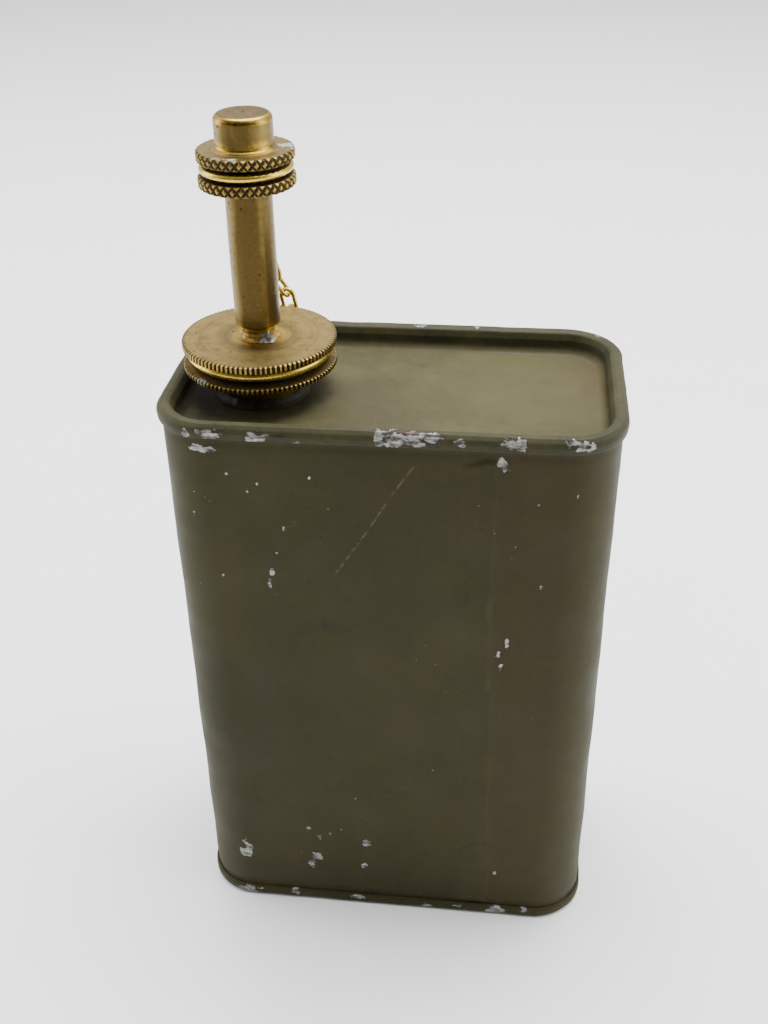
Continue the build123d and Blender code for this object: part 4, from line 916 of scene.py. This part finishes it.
P_, PLAY, LW = 3.2, 0.45, 0.36
HW = 0.80 + LW
xn, xf = -PLAY / 2 - LW + HW, P_ + PLAY / 2 + LW - HW
for i, (piv, u, nn) in enumerate(LINKS):
    u = np.array(u); nn = np.array(nn); nn = nn - (nn @ u) * u; nn /= np.linalg.norm(nn); v = np.cross(nn, u)
    q = []
    for k in range(21): a = math.pi / 2 - math.pi * k / 20; q.append((xf + HW * math.cos(a), HW * math.sin(a)))
    for k in range(1, 8): q.append((xf + (xn - xf) * k / 8, -HW))
    for k in range(21): a = -math.pi / 2 - math.pi * k / 20; q.append((xn + HW * math.cos(a), HW * math.sin(a)))
    for k in range(1, 8): q.append((xn + (xf - xn) * k / 8, HW))
    q = np.array(q)
    rad = np.full(len(q), LW)
    joint = np.exp(-((q[:, 0] - (xn + xf) / 2) / 0.16) ** 2) * (q[:, 1] > 0)     # butt joint in one long side
    rad = rad * (1 - 0.16 * joint)
    origin = np.array([AX + piv[0], AY + piv[1], piv[2]])
    path = origin + q[:, :1] * u + q[:, 1:] * v
    V, F = tube(path, rad, 14, up=nn)
    w = waves(200 + i, 7, 1, 4)(V)
    grime_and_shade = 0.8 * np.repeat(joint, 14) + 0.45 * sstep(0.2, 0.9, w)
    make(f"chain_link_wire_{i + 1:02d}", V, F, f"chain_link_{i + 1:02d}", [f"chain_link_{i + 1:02d}"], WIRE,
         {"grime_and_shade": grime_and_shade, "gold_and_glint": 0.4 + 0.3 * w, "verd": np.zeros(len(V))})


# ---------------------------------------------------------- stage and light
def stage():
    n = 24
    xs = np.linspace(-1.6, 1.6, n)
    V = [(x * 1000, y * 1000, -0.02) for x in xs for y in xs]
    me = bpy.data.meshes.new("floor"); me.from_pydata([(a * MM, b * MM, c * MM) for a, b, c in V], [], [tuple(int(i) for i in f) for f in grid_faces(n, n, False)])
    ob = bpy.data.objects.new("floor", me); bpy.context.scene.collection.objects.link(ob)
    m = Mat("floor_paper"); a = m.noise(40, 2, 0.5)
    me.materials.append(m.done(m.mix(a, (0.86, 0.86, 0.86), (0.90, 0.90, 0.90)), 0.9, 0.0))


def area(name, loc, target, size, power, size_y=None, color=(1, 1, 1)):
    li = bpy.data.lights.new(name, "AREA"); li.shape = "RECTANGLE"; li.size = size; li.size_y = size_y or size
    li.energy = power; li.color = color
    ob = bpy.data.objects.new(name, li); bpy.context.scene.collection.objects.link(ob)
    ob.location = loc
    ob.rotation_euler = (Vector(target) - Vector(loc)).to_track_quat("-Z", "Y").to_euler()
    return ob


stage()
world = bpy.data.worlds.new("studio"); bpy.context.scene.world = world; world.use_nodes = True
# a soft room: bright overhead and behind, dimmer on the near side
wt = world.node_tree; bg = wt.nodes["Background"]
tc = wt.nodes.new("ShaderNodeTexCoord"); dot = wt.nodes.new("ShaderNodeVectorMath"); dot.operation = "DOT_PRODUCT"
dot.inputs[1].default_value = (0.0, 0.80, 0.60); wt.links.new(tc.outputs["Generated"], dot.inputs[0])
mr = wt.nodes.new("ShaderNodeMapRange"); mr.interpolation_type = "SMOOTHSTEP"; wt.links.new(dot.outputs["Value"], mr.inputs[0])
for k_, v_ in enumerate((-0.70, 0.80, 0.05, 1.10)):
    mr.inputs[k_ + 1].default_value = v_
wt.links.new(mr.outputs[0], bg.inputs[1]); bg.inputs[0].default_value = (1.0, 1.0, 1.0, 1)
area("overhead", (0.05, 0.22, 0.95), (0, 0.0, 0.05), 0.9, 26.0, 0.7)
area("left_wall", (-0.75, 0.10, 0.30), (0, 0, 0.10), 0.45, 5.0, 0.7)
area("right_wall", (0.75, 0.02, 0.34), (0, 0, 0.10), 0.45, 4.6, 0.7)

# ------------------------------------------------------------------- camera
yaw, pitch, roll = math.radians(7.339), math.radians(32.806), math.radians(-1.035)
right = Vector((math.cos(yaw), math.sin(yaw), 0)); f0 = Vector((-math.sin(yaw), math.cos(yaw), 0)); zz = Vector((0, 0, 1))
fwd = f0 * math.cos(pitch) - zz * math.sin(pitch); upv = zz * math.cos(pitch) + f0 * math.sin(pitch)
rx = right * math.cos(roll) + upv * math.sin(roll); ux = -right * math.sin(roll) + upv * math.cos(roll)
cam = bpy.data.cameras.new("camera"); cam.sensor_width = 36.0; cam.lens = 1202.95 / 1024 * 36.0
cam.clip_start = 0.01; cam.clip_end = 20
co = bpy.data.objects.new("camera", cam); bpy.context.scene.collection.objects.link(co)
mw = Matrix.Identity(4)
for i in range(3):
    mw[i][0], mw[i][1], mw[i][2] = rx[i], ux[i], -fwd[i]
mw.translation = Vector((0.020684, -0.180379, 0.198352))
co.matrix_world = mw
bpy.context.scene.camera = co

bpy.context.view_layer.update()
